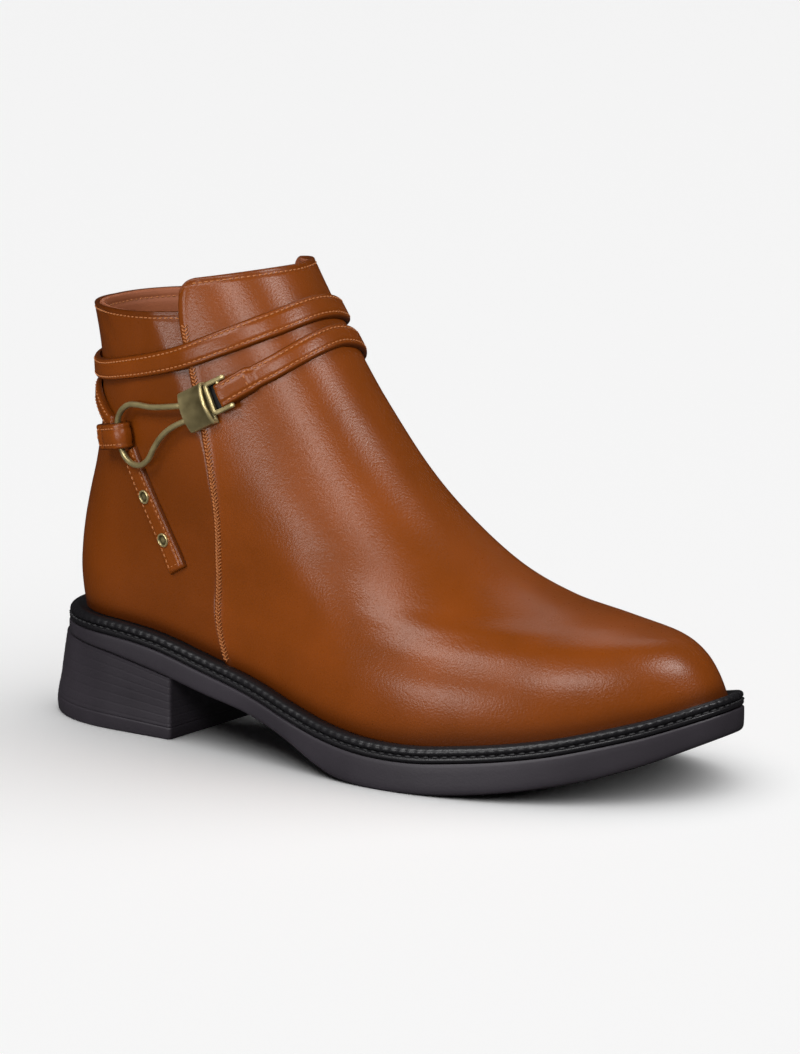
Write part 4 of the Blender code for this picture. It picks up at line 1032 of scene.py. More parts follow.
# Heel: a stacked block of the same charcoal rubber, with faint layer lines round it and a
# thicker top piece at the floor, screwed up under the outsole.
HEEL_COLUMNS = ("share", "back_x", "breast_x", "half")
HEEL = np.array([
    (0.0, -4.6, 65.0, 33.0),
    (0.03, -4.8, 65.2, 33.2),
    (0.5, -2.2, 66.0, 34.0),
    (1.0, 1.4, 66.8, 34.9),
])
HEEL_HIGH, HEEL_SEAT_GAP = 28.9, 0.05
HEEL_POWER, HEEL_ROUND_LENGTH, HEEL_CORNER = 2.1, 0.62, 1.2
HEEL_LAYER_MM, HEEL_LINE, HEEL_LINE_SHARE = 3.4, 0.05, 0.10
HEEL_TOP_PIECE, HEEL_TOP_LINE, HEEL_TOP_LINE_WIDE = 5.6, 0.22, 0.28
HEEL_FOOT_ROUND, HEEL_FOOT_ROWS = 0.6, np.array([0.001, 0.004, 0.01, 0.018])


def heel_plan(back_x, breast_x, half):
    """The heel in plan at each height: super-ellipse back, straight sides, round corners, flat breast."""
    angle = np.linspace(0, math.pi / 2, 48)
    corner = np.linspace(0, math.pi / 2, 7)
    inwards = np.linspace(1, 0, 13)[1:]
    back_long = (breast_x - back_x) * HEEL_ROUND_LENGTH
    x = np.concatenate([back_x + back_long * (1 - np.cos(angle)**(2 / HEEL_POWER)),
                        breast_x - HEEL_CORNER * (1 - np.sin(corner)),
                        breast_x + 0 * inwards], axis=1)
    y = np.concatenate([half * np.sin(angle)**(2 / HEEL_POWER),
                        half - HEEL_CORNER * (1 - np.cos(corner)),
                        (half - HEEL_CORNER) * inwards], axis=1)
    inner = np.stack([x, y], axis=-1)
    return np.concatenate([inner[:, ::-1], (inner * (1, -1))[:, 1:-1]], axis=1)


heights = np.unique(np.concatenate([np.linspace(0, 1, 130), HEEL_FOOT_ROWS]))[:, None]
back_x, breast_x, half = (column(HEEL, HEEL_COLUMNS, name, heights) for name in HEEL_COLUMNS[1:])
mm = heights * HEEL_HIGH
phase = (mm - HEEL_TOP_PIECE) / HEEL_LAYER_MM % 1.0
layers = HEEL_LINE * np.exp(-((phase - 0.5) / HEEL_LINE_SHARE)**2) * (mm > HEEL_TOP_PIECE)
top_line = HEEL_TOP_LINE * np.exp(-((mm - HEEL_TOP_PIECE) / HEEL_TOP_LINE_WIDE)**2)
foot = HEEL_FOOT_ROUND * (1 - np.sqrt(1 - np.clip(1 - mm / HEEL_FOOT_ROUND, 0, 1)**2))
inset = layers + top_line + foot
plan = heel_plan(back_x + inset, breast_x - inset, half - inset)
seat = sole_height("outsole_bottom_z", np.maximum(plan[..., 0], SECTIONS[0, 1])) - HEEL_SEAT_GAP
rings = np.dstack([plan, seat * heights])
half_count = rings.shape[1] // 2
pairs = np.stack([np.arange(half_count + 1), -np.arange(half_count + 1) % rings.shape[1]], axis=-1)
heel = joined_grids("heel_block", (
    (rings, True, False), (rings[0][pairs], False, False), (rings[-1][pairs], False, True)), charcoal)
dress(heel, "boot", "sole_rubber", "heel")

# Straps: folded bands of the same leather that wrap the shaft. Their edges are turned and
# stitched, the upper one goes right round, the lower one is held by the buckle at both ends.
STRAP_COLUMNS = ("turn", "z")
STRAP_UPPER = np.array([
    (-277, 136.0),
    (-225, 131.5),
    (-180, 128.2),
    (-137, 126.5),
    (-115, 129.3),
    (-83, 135.2),
    (-63, 140.4),
    (-36, 146.5),
    (0, 150.9),
    (36, 146.5),
    (71, 138.8),
])
STRAP_LOWER_FRONT = np.array([
    (-71.4, 123.0),
    (-55, 129.5),
    (-45, 132.6),
    (-30, 136.9),
    (-12, 140.5),
    (0, 141.5),
    (12, 140.5),
    (30, 136.9),
    (45, 132.8),
    (73, 128.4),
])
STRAP_LOWER_BACK = np.array([
    (-275, 126.6),
    (-225, 122.2),
    (-180, 119.6),
    (-165, 118.4),
    (-153, 115.6),
    (-141, 110.6),
    (-133, 107.2),
])
STRAP_UPPER_WIDE, STRAP_LOWER_WIDE = 7.6, 6.9
STRAP_THICK, STRAP_CLEAR = 2.2, 0.15
STRAP_ROW, STRAP_ROW_DIP = 1.35, 0.28
STRAP_FOLD_LONG, STRAP_FOLD_EXTRA, STRAP_FOLD_WIDER = 12.0, 1.2, 1.14
STRAP_FOLD_RUN, STRAP_FOLD_ROW = 0.8, 1.3
STRAP_RAMP, STRAP_STEP, STRAP_ROW_MARGIN = 6.0, 1.3, 1.5
STRAP_CROWN_POWER, STRAP_CROWN_ROOT, STRAP_ROW_WIDE = 7, 2.2, 0.5
STRAP_BURNISH, STRAP_BURNISH_WIDE = 0.7, 0.8
# How each strap stands off the leather, as a bell: height, middle turn and spread in degrees
UPPER_STAND = (0.8, -160, 26)
FRONT_STAND = (1.6, -72, 9)
BACK_STAND = (0.6, -158, 12)
END_STEPS = np.array([0.0, 0.08, 0.25, 0.5, 0.9, 1.4])
END_ROUND, END_THIN = 1.2, 0.35
FACE_POINTS, BACK_POINTS, LINE_POINTS, CROSS_POINTS = 27, 7, 400, 24
HALVINGS = 30


def strap_profile(wide, thick):
    """A strap's section as a closed loop: a flat back, and a face with round edges and rows pulled in."""
    across = 0.5 * wide * np.cos(np.linspace(0, math.pi, FACE_POINTS))
    share = np.abs(across) / (0.5 * wide)
    height = thick * np.clip(1 - share**STRAP_CROWN_POWER, 0, 1)**(1 / STRAP_CROWN_ROOT)
    row = 0.5 * wide - STRAP_ROW
    height -= STRAP_ROW_DIP * np.exp(-((np.abs(across) - row) / STRAP_ROW_WIDE)**2)
    back = np.linspace(-0.5 * wide, 0.5 * wide, BACK_POINTS + 2)[1:-1]
    loop_across = np.concatenate([across, back])
    loop_height = np.concatenate([np.maximum(height, 0), np.zeros(BACK_POINTS)])
    return loop_across, loop_height


def strap_burnish(across, wide):
    """Burnish of a strap: dark at its edges, by a straight fall."""
    return STRAP_BURNISH * np.clip(1 - (0.5 * wide - np.abs(across)) / STRAP_BURNISH_WIDE, 0, 1)


def rise_where(height_at, z):
    """The rise at which a height, which grows with the rise, reaches z; found by halving."""
    low = np.zeros(np.shape(z))
    high = np.ones(np.shape(z))
    for _ in range(HALVINGS):
        middle = 0.5 * (low + high)
        under = height_at(middle) < z
        low = np.where(under, middle, low)
        high = np.where(under, high, middle)
    return 0.5 * (low + high)


def rise_at(turn, z):
    """The rise at which the form reaches a height at a turn."""
    return rise_where(lambda rise: last_point(rise, turn)[..., 2], z)


def wall_place(x, z, side):
    """Rise and turn of the form's point at a place along the foot and a height."""
    x, z = np.broadcast_arrays(np.asarray(x, float), np.asarray(z, float))
    rise = rise_where(lambda at: last_point(at, turn_at(at, x, side))[..., 2], z)
    return rise, turn_at(rise, x, side)


def strap_base(rise, turn):
    """The lift of a strap's back: the leather's lift with a long ramp on to the front panel."""
    x = last_point(rise, turn)[..., 0]
    seam = np.clip((x - seam_x(rise)) / STRAP_RAMP + 1, 0, 1)
    panel = np.where(x > zip_x(rise), 1.0, 0.0)
    return LAP * (np.where(np.sin(turn) < 0, seam, panel) - 0.5) + STRAP_CLEAR


def swept(name, sections, material):
    """A closed skin over sections of the same point count, with a face across each end."""
    rows, columns = sections.shape[:2]
    numbers = np.arange(rows * columns).reshape(rows, columns)
    faces = grid_faces(rows, columns, wrap=True).tolist()
    faces.append(numbers[0].tolist()[::-1])
    faces.append(numbers[-1].tolist())
    return mesh_piece(name, metres(sections), faces, material)


def end_stations(length, spacing):
    """Distances along a strap: even stations with close ones at both ends, where it rounds off."""
    count = max(int((length - 2 * END_STEPS[-1]) / spacing), 2)
    even = np.linspace(END_STEPS[-1], length - END_STEPS[-1], count)[1:-1]
    return np.concatenate([END_STEPS, even, length - END_STEPS[::-1]])


def end_fall(gone):
    """The share of its thickness that a strap keeps near its ends: a quarter round."""
    near = np.clip(np.minimum(gone, gone[-1] - gone) / END_ROUND, 0, 1)
    return END_THIN + (1 - END_THIN) * np.sqrt(1 - (1 - near)**2)


def wrapped_strap(name, table, wide, stand, folded):
    """A strap along its table of turns and heights round the shaft, with the runs for its stitches."""
    degrees = np.linspace(table[0, 0], table[-1, 0], LINE_POINTS)
    line_turn = np.radians(degrees)
    line_rise = rise_at(line_turn, column(table, STRAP_COLUMNS, "z", degrees))
    line = last_point(line_rise, line_turn)
    gone = distance_along(line)
    at = end_stations(gone[-1], STRAP_STEP)
    turn = np.radians(np.interp(at, gone, degrees))[:, None]
    z = column(table, STRAP_COLUMNS, "z", np.degrees(turn))
    across, height = strap_profile(wide, STRAP_THICK)
    fold = folded * step_up((STRAP_FOLD_LONG - at) / STRAP_FOLD_RUN + 1)
    grown = 1 + STRAP_FOLD_EXTRA / STRAP_THICK * fold
    spread = 1 + (STRAP_FOLD_WIDER - 1) * fold[:, None]
    off = stand[0] * np.exp(-((np.degrees(turn) - stand[1]) / stand[2])**2)
    rise = rise_at(turn + 0 * across, z + across * spread)
    turn = turn + np.zeros(rise.shape)
    lift = strap_base(rise, turn) + off + height * (end_fall(at) * grown)[:, None]
    strap = swept(name, lifted(rise, turn, lift), cognac)
    burnish_and_shade(strap, strap_burnish(across, wide) + np.zeros(rise.shape))
    runs = []
    row = 0.5 * wide - STRAP_ROW
    keep = (at > STRAP_ROW_MARGIN) & (at < gone[-1] - STRAP_ROW_MARGIN)
    top = off[:, 0] + (STRAP_THICK - STRAP_ROW_DIP) * grown
    for side in (1, -1):
        run_rise = rise_at(turn[keep, 0], (z + side * row * spread)[keep, 0])
        runs.append(run_on_wall(run_rise, turn[keep, 0], strap_base(run_rise, turn[keep, 0]) + top[keep]))
    if folded:
        place = np.searchsorted(at, STRAP_FOLD_LONG - STRAP_FOLD_ROW)
        cross_turn = np.full(CROSS_POINTS, turn[place, 0])
        cross_rise = rise_at(cross_turn, z[place, 0] + np.linspace(row, -row, CROSS_POINTS))
        cross_lift = strap_base(cross_rise, cross_turn) + top[place] + STRAP_ROW_DIP
        runs.append(run_on_wall(cross_rise, cross_turn, cross_lift))
    return strap, runs


# Straps round the shaft: piece, solid, table, width, how it stands off, whether it is folded round the pin
STRAPS = (
    ("upper_strap", "strap_upper", STRAP_UPPER, STRAP_UPPER_WIDE, UPPER_STAND, False),
    ("lower_front_strap", "strap_lower_front", STRAP_LOWER_FRONT, STRAP_LOWER_WIDE, FRONT_STAND, True),
    ("lower_back_strap", "strap_lower_back", STRAP_LOWER_BACK, STRAP_LOWER_WIDE, BACK_STAND, False),
)
strap_runs = []
for name, solid, table, wide, stand, folded in STRAPS:
    strap, runs = wrapped_strap(name, table, wide, stand, folded)
    dress(strap, "boot", "leather", solid)
    strap_runs += runs
strap_stitches = stitch_piece("strap_stitches", strap_runs, thread)
dress(strap_stitches, "boot", "leather")

# Hanging strap end: a stitched tail of the lower strap that lies on the rear quarter, held
# down by two rivets of antique brass with dished heads.
TAIL_TOP = np.array([45.7, 100.0])
TAIL_END = np.array([67.2, 60.0])
TAIL_WIDE, TAIL_THICK, TAIL_STEP = 8.0, 2.0, 1.2
TAIL_ROW_END, TAIL_ROW_POINTS = 0.955, 30
RIVET_PLACES = (0.38, 0.74)
# Rivet rings, lowest first: radius, height
RIVET_PROFILE = np.array([
    (2.35, -0.3),
    (2.5, 0.15),
    (2.45, 0.45),
    (2.25, 0.62),
    (2.0, 0.6),
    (1.8, 0.42),
    (1.6, 0.2),
    (1.3, 0.1),
    (0.9, 0.16),
    (0.5, 0.24),
    (0.04, 0.28),
])
RIVET_SIDES = 32


def tail_place(share, across):
    """Rise and turn of a place on the hanging end, by share of its length and distance across."""
    along = unit(TAIL_END - TAIL_TOP)
    x = TAIL_TOP[0] + (TAIL_END - TAIL_TOP)[0] * share - along[1] * across
    z = TAIL_TOP[1] + (TAIL_END - TAIL_TOP)[1] * share + along[0] * across
    return wall_place(x, z, OUTER)


tail_long = np.linalg.norm(TAIL_END - TAIL_TOP)
at = end_stations(tail_long, TAIL_STEP)
across, height = strap_profile(TAIL_WIDE, TAIL_THICK)
rise, turn = tail_place((at / tail_long)[:, None], across)
lift = strap_base(rise, turn) + height * end_fall(at)[:, None]
tail = swept("strap_end", lifted(rise, turn, lift), cognac)
burnish_and_shade(tail, strap_burnish(across, TAIL_WIDE) + np.zeros(rise.shape))
dress(tail, "boot", "leather", "strap_tail")
row = 0.5 * TAIL_WIDE - STRAP_ROW
down = np.linspace(0, TAIL_ROW_END, TAIL_ROW_POINTS)
row_line = np.full(TAIL_ROW_POINTS, row)
tail_share = np.concatenate([down, np.full(TAIL_ROW_POINTS, TAIL_ROW_END), down[::-1]])
tail_across = np.concatenate([row_line, np.linspace(row, -row, TAIL_ROW_POINTS), -row_line])
rise, turn = tail_place(tail_share, tail_across)
tail_run = run_on_wall(rise, turn, strap_base(rise, turn) + TAIL_THICK - STRAP_ROW_DIP)
tail_stitches = stitch_piece("strap_end_stitches", [tail_run], thread)
dress(tail_stitches, "boot", "leather")

BRASS, BRASS_DARK, BRASS_ROUGHNESS, BRASS_METAL = "#a4956a", "#4c4329", 0.36, 0.72
PATINA_MM, BRUSH_MM, BRUSH_BUMP, BRUSH_DEEP_MM = 5.0, 0.5, 0.2, 0.06
PATINA_SHARE = 0.7
# Spans of pointiness over which an edge is rubbed, of wear from dark to bright, and of roughness
RUBBED_SPAN, WORN_SPAN, BRASS_GLOSS_SPAN = (0.46, 0.56), (0.45, 1.2), (0.28, 0.46)


def local_frame(rise, turn, lift, side):
    """A point off the wall with three directions: forward, up and outward."""
    outward = last_normal(rise, turn)
    forward = unit(np.cross(np.array([0.0, 0.0, 1.0]), outward)) * -side
    up = np.cross(outward, forward) * -side
    return lifted(rise, turn, lift), forward, up, outward


def brass_finish(name, bright, dark):
    """Antique brass: rubbed bright on edges, brown in hollows, clouded with patina and finely brushed."""
    material, tree, shader = new_finish(name, bright, BRASS_ROUGHNESS, metallic=BRASS_METAL)
    place = add_node(tree, "ShaderNodeTexCoord").outputs["Object"]
    cloud, brush = (
        add_node(tree, "ShaderNodeTexNoise", {"Vector": place, "Scale": 1 / (size * MM), "Detail": detail})
        for size, detail in ((PATINA_MM, 5.0), (BRUSH_MM, 2.0)))
    rubbed = add_node(tree, "ShaderNodeNewGeometry").outputs["Pointiness"]
    edges = add_node(tree, "ShaderNodeMapRange", {
        "Value": rubbed, "From Min": RUBBED_SPAN[0], "From Max": RUBBED_SPAN[1]})
    spread = add_node(tree, "ShaderNodeMath", {
        0: cloud.outputs["Fac"], 1: PATINA_SHARE, 2: edges.outputs["Result"]}, operation="MULTIPLY_ADD")
    worn = add_node(tree, "ShaderNodeMapRange", {
        "Value": spread.outputs[0], "From Min": WORN_SPAN[0], "From Max": WORN_SPAN[1]})
    tone = add_node(tree, "ShaderNodeMix", {
        "Factor": worn.outputs["Result"], "A": linear(dark), "B": linear(bright)}, data_type="RGBA")
    tree.links.new(tone.outputs["Result"], shader.inputs["Base Color"])
    bump = add_node(tree, "ShaderNodeBump", {
        "Height": brush.outputs["Fac"], "Strength": BRUSH_BUMP, "Distance": BRUSH_DEEP_MM * MM})
    tree.links.new(bump.outputs["Normal"], shader.inputs["Normal"])
    gloss = add_node(tree, "ShaderNodeMapRange", {
        "Value": cloud.outputs["Fac"], "To Min": BRASS_GLOSS_SPAN[0], "To Max": BRASS_GLOSS_SPAN[1]})
    tree.links.new(gloss.outputs["Result"], shader.inputs["Roughness"])
    return material


antique_brass = brass_finish("antique_brass", BRASS, BRASS_DARK)
angle = round_angles(RIVET_SIDES)
for number, share in enumerate(RIVET_PLACES, start=1):
    rise, turn = tail_place(np.array(share), np.array(0.0))
    base = strap_base(rise, turn) + TAIL_THICK
    centre, forward, up, outward = local_frame(rise, turn, base, OUTER)
    circle = np.cos(angle)[:, None] * forward + np.sin(angle)[:, None] * up
    rings = centre + RIVET_PROFILE[:, :1, None] * circle + RIVET_PROFILE[:, 1:, None] * outward
    rivet = swept("domed_rivet_%d" % number, rings, antique_brass)
    dress(rivet, "boot", "brass", "rivet_%d" % number)

# Buckle: an arched cast block of antique brass, hollow at its front, with a cast C-shaped
# bracket that holds the front strap's pin, and a bent wire loop for the strap's knot.
BUCKLE_X, BUCKLE_Z = 81.6, 119.0
BUCKLE_TILT = math.radians(26)
BUCKLE_LIFT = 0.9
BLOCK_HIGH, BLOCK_RIM, BLOCK_ARCH = 14.5, 2.6, 2.2
# Block outline from the leather up to its arched crown: share of its height, lift
BLOCK_BASE = np.array([(-0.3, 0.0), (0.0, 0.0), (0.3, 0.0)])
BLOCK_SHOULDER = np.array([(0.5, 0.0), (0.5, 1.0), (0.5, 2.0), (0.497, 2.35), (0.487, 2.65)])
BLOCK_CROWN = np.linspace(0.47, -0.47, 25)
# Block sections from back to front: distance from its middle, inset of the outline
BLOCK_SECTIONS = np.array([
    (-5.7, 0.5),
    (-5.55, 0.22),
    (-5.3, 0.06),
    (-5.0, 0.0),
    (3.7, 0.0),
    (3.85, -0.1),
    (4.1, -0.2),
    (4.6, -0.2),
    (4.85, -0.08),
    (4.95, 0.15),
    (4.95, 0.95),
    (4.8, 1.1),
    (2.4, 1.2),
])
PRONG_REACH, PRONG_HALF_GAP, PRONG_RAISE, PRONG_LIFT = 14.4, 5.1, 0.7, 2.1
PRONG_WIDE, PRONG_THICK, PRONG_TIP = 1.7, 1.7, np.array([0.0, 0.08, 0.22, 0.5])
BRACKET_BACK, BRACKET_ROUND = 6.1, 1.3
PIN_PLACE, PIN_RADIUS = 11.2, 0.8
# Plate of painted shade under the bracket's opening: from, to, half width, thickness and lift; its colour,
# roughness and specular level
BED_FROM, BED_TO, BED_HALF, BED_THICK, BED_LIFT = 5.2, 11.5, 4.9, 0.9, 0.36
BED_SHADE_BLACK, BED_ROUGHNESS, BED_LEVEL = "#0b0a09", 0.6, 0.2
TIP_THIN = 0.25


def squared_circle(angle, power):
    """A circle pushed out towards a square: its two waves raised to a power, with their signs kept."""
    waves = np.stack([np.cos(angle), np.sin(angle)], axis=-1)
    return np.sign(waves) * np.abs(waves)**power


def rounded_bar(path, up, wide, thick, power=3.2, sides=20, tip=0.5):
    """A super-elliptic bar along a path, with round tips."""
    ahead = unit(np.gradient(path, axis=0))
    up = unit(up - ahead * np.sum(up * ahead, axis=-1, keepdims=True))
    beside = np.cross(up, ahead)
    circle = squared_circle(round_angles(sides), 2 / power) * 0.5 * np.array([wide, thick])
    gone = distance_along(path)
    near = np.clip(np.minimum(gone, gone[-1] - gone) / tip, 0, 1)
    girth = (TIP_THIN + (1 - TIP_THIN) * np.sqrt(1 - (1 - near)**2))[:, None, None]
    return path[:, None] + girth * (circle[:, :1] * beside[:, None] + circle[:, 1:] * up[:, None])


rise, turn = wall_place(BUCKLE_X, BUCKLE_Z, OUTER)
buckle, forward, up, buckle_out = local_frame(rise, turn, BUCKLE_LIFT, OUTER)
buckle_along = forward * math.cos(BUCKLE_TILT) + up * math.sin(BUCKLE_TILT)
buckle_across = np.cross(buckle_out, buckle_along)


def on_buckle(along, across, out):
    """Points by their distances from the buckle's middle, along it, across it and off the leather."""
    return buckle + along * buckle_along + across * buckle_across + out * buckle_out


crown = np.stack([BLOCK_CROWN * BLOCK_HIGH, BLOCK_RIM + BLOCK_ARCH * (1 - (2 * BLOCK_CROWN)**2)], axis=-1)
shoulder = BLOCK_SHOULDER * (BLOCK_HIGH, 1)
outline = np.concatenate([BLOCK_BASE * (BLOCK_HIGH, 1), shoulder, crown, shoulder[::-1] * (-1, 1)])
half = 0.5 * np.array([BLOCK_HIGH, BLOCK_RIM + BLOCK_ARCH])
middle = half * (0, 1)
inset = 1 - BLOCK_SECTIONS[:, 1:, None] / half
loops = middle + (outline - middle) * inset
sections = on_buckle(BLOCK_SECTIONS[:, :1, None], loops[..., :1], loops[..., 1:])
block = swept("buckle_clasp", sections, antique_brass)
dress(block, "boot", "brass", "buckle_block")

corner = np.linspace(0, math.pi / 2, 9)
turned = np.stack([BRACKET_BACK + BRACKET_ROUND * (1 - np.sin(corner)),
                   PRONG_HALF_GAP - BRACKET_ROUND * (1 - np.cos(corner))], axis=-1)
prong_x = np.linspace(PRONG_REACH, BRACKET_BACK + BRACKET_ROUND, 24)[:-1]
prong_x[:len(PRONG_TIP)] = PRONG_REACH - PRONG_TIP
prong = np.stack([prong_x, np.full(prong_x.shape, PRONG_HALF_GAP)], axis=-1)
upper_half = np.concatenate([prong, turned])
bracket = np.concatenate([upper_half, (upper_half * (1, -1))[::-1]])
path = on_buckle(bracket[:, :1], bracket[:, 1:] + PRONG_RAISE, PRONG_LIFT)
bracket_bar = rounded_bar(path, buckle_out, PRONG_WIDE, PRONG_THICK)
bracket_piece = swept("buckle_bracket", bracket_bar, antique_brass)
dress(bracket_piece, "boot", "brass")
pin_across = np.linspace(-PRONG_HALF_GAP, PRONG_HALF_GAP, 12)[:, None]
path = on_buckle(PIN_PLACE, pin_across + PRONG_RAISE, PRONG_LIFT)
pin_bar = rounded_bar(path, buckle_out, 2 * PIN_RADIUS, 2 * PIN_RADIUS, power=2.0)
pin = swept("buckle_pin", pin_bar, antique_brass)
dress(pin, "boot", "brass")
# A dull black plate of painted shade under the bracket's opening, standing for the shadow deep in the
# buckle's hollow; the bracket stands out from it
shade_plate_finish = new_finish("painted_shade_black", BED_SHADE_BLACK, BED_ROUGHNESS, specular_ior_level=BED_LEVEL)[0]
path = on_buckle(np.linspace(BED_FROM, BED_TO, 12)[:, None], PRONG_RAISE, BED_LIFT)
shade_plate = swept("buckle_shade_plate", rounded_bar(path, buckle_out, 2 * BED_HALF, BED_THICK), shade_plate_finish)
dress(shade_plate, "boot", "brass")

# The wire's places on the wall, from the block round the knot and back: x, z
WIRE = np.array([
    (75.2, 119.2),
    (67.5, 118.1),
    (61.7, 117.5),
    (55.1, 117.6),
    (51.2, 117.2),
    (47.6, 115.4),
    (45.0, 112.6),
    (43.9, 109.4),
    (44.6, 105.4),
    (45.3, 101.4),
    (47.8, 98.0),
    (51.9, 96.4),
    (56.0, 96.8),
    (59.6, 99.0),
    (62.6, 103.0),
    (66.2, 107.4),
    (70.6, 110.9),
    (77.6, 114.3),
])
WIRE_THICK, WIRE_LIFT, WIRE_POWER = 2.0, 3.4, 2.3
chord = distance_along(WIRE)
gone = np.linspace(0, chord[-1], 220)
wire_x, wire_z = (curve_through(chord, places, gone) for places in WIRE.T)
rise, turn = wall_place(wire_x, wire_z, OUTER)
path = lifted(rise, turn, np.full(gone.shape, WIRE_LIFT))
wire_bar = rounded_bar(path, last_normal(rise, turn), WIRE_THICK, WIRE_THICK, power=WIRE_POWER)
wire = swept("buckle_loop", wire_bar, antique_brass)
dress(wire, "boot", "brass", "buckle_wire")

# Knot: the end of the lower back strap, of the same cognac leather. It is folded round the wire
# loop, stitched back on itself and drawn in by a groove behind the fold.
KNOT_ENDS = WIRE[7:10:2]
KNOT_HIGH, KNOT_REAR, KNOT_FRONT, KNOT_HOLE = 9.0, 15.0, 4.4, 1.1
KNOT_THICK, KNOT_REAR_THICK, KNOT_FRONT_THICK = 6.8, 6.4, 5.0
KNOT_GROOVE, KNOT_GROOVE_PLACE, KNOT_GROOVE_WIDE = 1.3, -9.2, 1.2
KNOT_SPAN = math.radians(40)
KNOT_POINTS = 64
# Hole through the fold: how far it reaches as a share of the knot's height, and its painted shade
KNOT_HOLE_DEEP, KNOT_HOLE_PAINTED_SHADE = 0.9, 0.9
# Runs of stitches by their sections and points in the knot's grid: two along it, one across it
KNOT_STITCHES = ((4, slice(6, 27)), (8, slice(6, 27)), (slice(3, 10), 25))
# Knot sections from its lower to its upper edge: share of the half height, inset of the loop
KNOT_SECTIONS = np.array([
    (-1.0, 1.1),
    (-0.98, 0.6),
    (-0.9, 0.22),
    (-0.78, 0.03),
    (-0.62, 0.22),
    (-0.45, 0.0),
    (0.0, -0.12),
    (0.45, 0.0),
    (0.62, 0.22),
    (0.78, 0.03),
    (0.9, 0.22),
    (0.98, 0.6),
    (1.0, 1.1),
])


def knot_floor(centre, along, outward, across):
    """The height of the wall under the knot, at distances along it."""
    x, z = KNOT_ENDS.mean(axis=0)
    rise, turn = wall_place(x, z, OUTER)
    nearby = turn + np.linspace(-KNOT_SPAN, KNOT_SPAN, 41)
    wall = lifted(rise_at(nearby, np.full(nearby.shape, z)), nearby, np.zeros(nearby.shape)) - centre
    order = np.argsort(wall @ along)
    return np.interp(across, (wall @ along)[order], (wall @ outward)[order])


ends = [lifted(*wall_place(x, z, OUTER), WIRE_LIFT) for x, z in KNOT_ENDS]
centre = 0.5 * (ends[0] + ends[1])
axis = unit(ends[0] - ends[1])
rise, turn = wall_place(*KNOT_ENDS.mean(axis=0), OUTER)
knot_along = unit(np.cross(axis, last_normal(rise, turn)))
knot_out = np.cross(knot_along, axis)
angle = round_angles(KNOT_POINTS)
reach = np.where(np.cos(angle) > 0, KNOT_FRONT, KNOT_REAR)
inset = KNOT_SECTIONS[:, 1:]
across = (reach - inset) * np.cos(angle)
end_thick = np.where(np.cos(angle) > 0, KNOT_FRONT_THICK, KNOT_REAR_THICK)
thick = end_thick + (KNOT_THICK - end_thick) * np.sin(angle)**2
thick = thick - KNOT_GROOVE * np.exp(-((across - KNOT_GROOVE_PLACE) / KNOT_GROOVE_WIDE)**2)
share = 0.5 + 0.5 * np.sign(np.sin(angle)) * np.sqrt(np.abs(np.sin(angle)))
height = knot_floor(centre, knot_along, knot_out, across) + inset * (0.5 - share) * 2 + thick * share
loops = across[..., None] * knot_along + height[..., None] * knot_out
loops = loops + (KNOT_SECTIONS[:, :1, None] * 0.5 * KNOT_HIGH) * axis
hole = KNOT_HOLE * (np.cos(angle)[:, None] * knot_along + np.sin(angle)[:, None] * knot_out)
hole_end = 0.5 * KNOT_HIGH * KNOT_HOLE_DEEP * axis
holes = np.stack([hole + hole_end, hole - hole_end])
knot = torus("strap_knot_fold", centre + np.concatenate([loops, holes]), cognac)
# Darkening by the sections' inset: burnish at the knot's edges, a little painted shade in its grooves, and
# full painted shade inside the hole
burnish_and_shade(knot, np.concatenate([inset + 0 * angle, np.full((2, KNOT_POINTS), KNOT_HOLE_PAINTED_SHADE)]))
dress(knot, "boot", "leather", "strap_knot")
facing = np.cross(axis, unit(np.gradient(loops, axis=1)))
knot_runs = [(centre + loops[places], facing[places]) for places in KNOT_STITCHES]
knot_stitches = stitch_piece("strap_knot_stitches", knot_runs, thread)
dress(knot_stitches, "boot", "leather")

# Zip: a woven brown tape with a nylon coil behind the slot, and an enamelled slider at the
# top whose bridge carries the long pull tab. The tab swings on the bridge.
TAPE_COLOURS, TAPE_ROUGHNESS, TAPE_SHEEN = ("#4a2a18", "#2c180d"), 0.8, 0.3
COIL_COLOURS, COIL_ROUGHNESS = ("#3a2114", "#4c2d1c"), 0.4
ENAMEL_COLOURS, ENAMEL_ROUGHNESS = ("#5f3a22", "#6d452a"), 0.3
TAPE_HALF, TAPE_THICK, TAPE_TOP = 8.0, 0.8, -2.7
TAPE_RISE = (0.165, 0.905)
COIL_RISE = (0.20, 0.86)
COIL_HALF, COIL_LIFT, COIL_PITCH, COIL_THICK, COIL_TURN_LONG = 2.1, -1.6, 1.3, 0.95, 0.3
# A wave's bands are about 0.32 apart at scale one
WEAVE_MM, WEAVE_BAND, WEAVE_BUMP, WEAVE_DEEP_MM = 0.9, 0.32, 0.6, 0.2
SLIDER_RISE, SLIDER_RISE_STEP, SLIDER_SIDES, SLIDER_POWER, SLIDER_TAPER = 0.885, 0.01, 48, 0.6, 0.22
SLIDER_LIFT, SLIDER_PLATE, HINGE_GAP = 0.7, 1.6, 1.3
HINGE_LIFT = SLIDER_LIFT + SLIDER_PLATE + HINGE_GAP
BRIDGE_INNER, BRIDGE_OUTER, BRIDGE_WIDE = 1.25, 2.3, 1.6
PULL_LONG, PULL_WIDE, PULL_NECK, PULL_THICK, PULL_BAR = 20.0, 6.4, 4.6, 1.3, 0.6
PULL_SHOULDER = (4.1, 6.6)
# Round ends of the pull tab, at its foot and at its bar: length, share of the width's square that is lost
PULL_FOOT_ROUND, PULL_FOOT_LOSS, PULL_BAR_ROUND, PULL_BAR_LOSS = 3.0, 0.9, 1.4, 0.6
EYE_HALF, EYE_SPAN = 1.3, (0.7, 3.1)


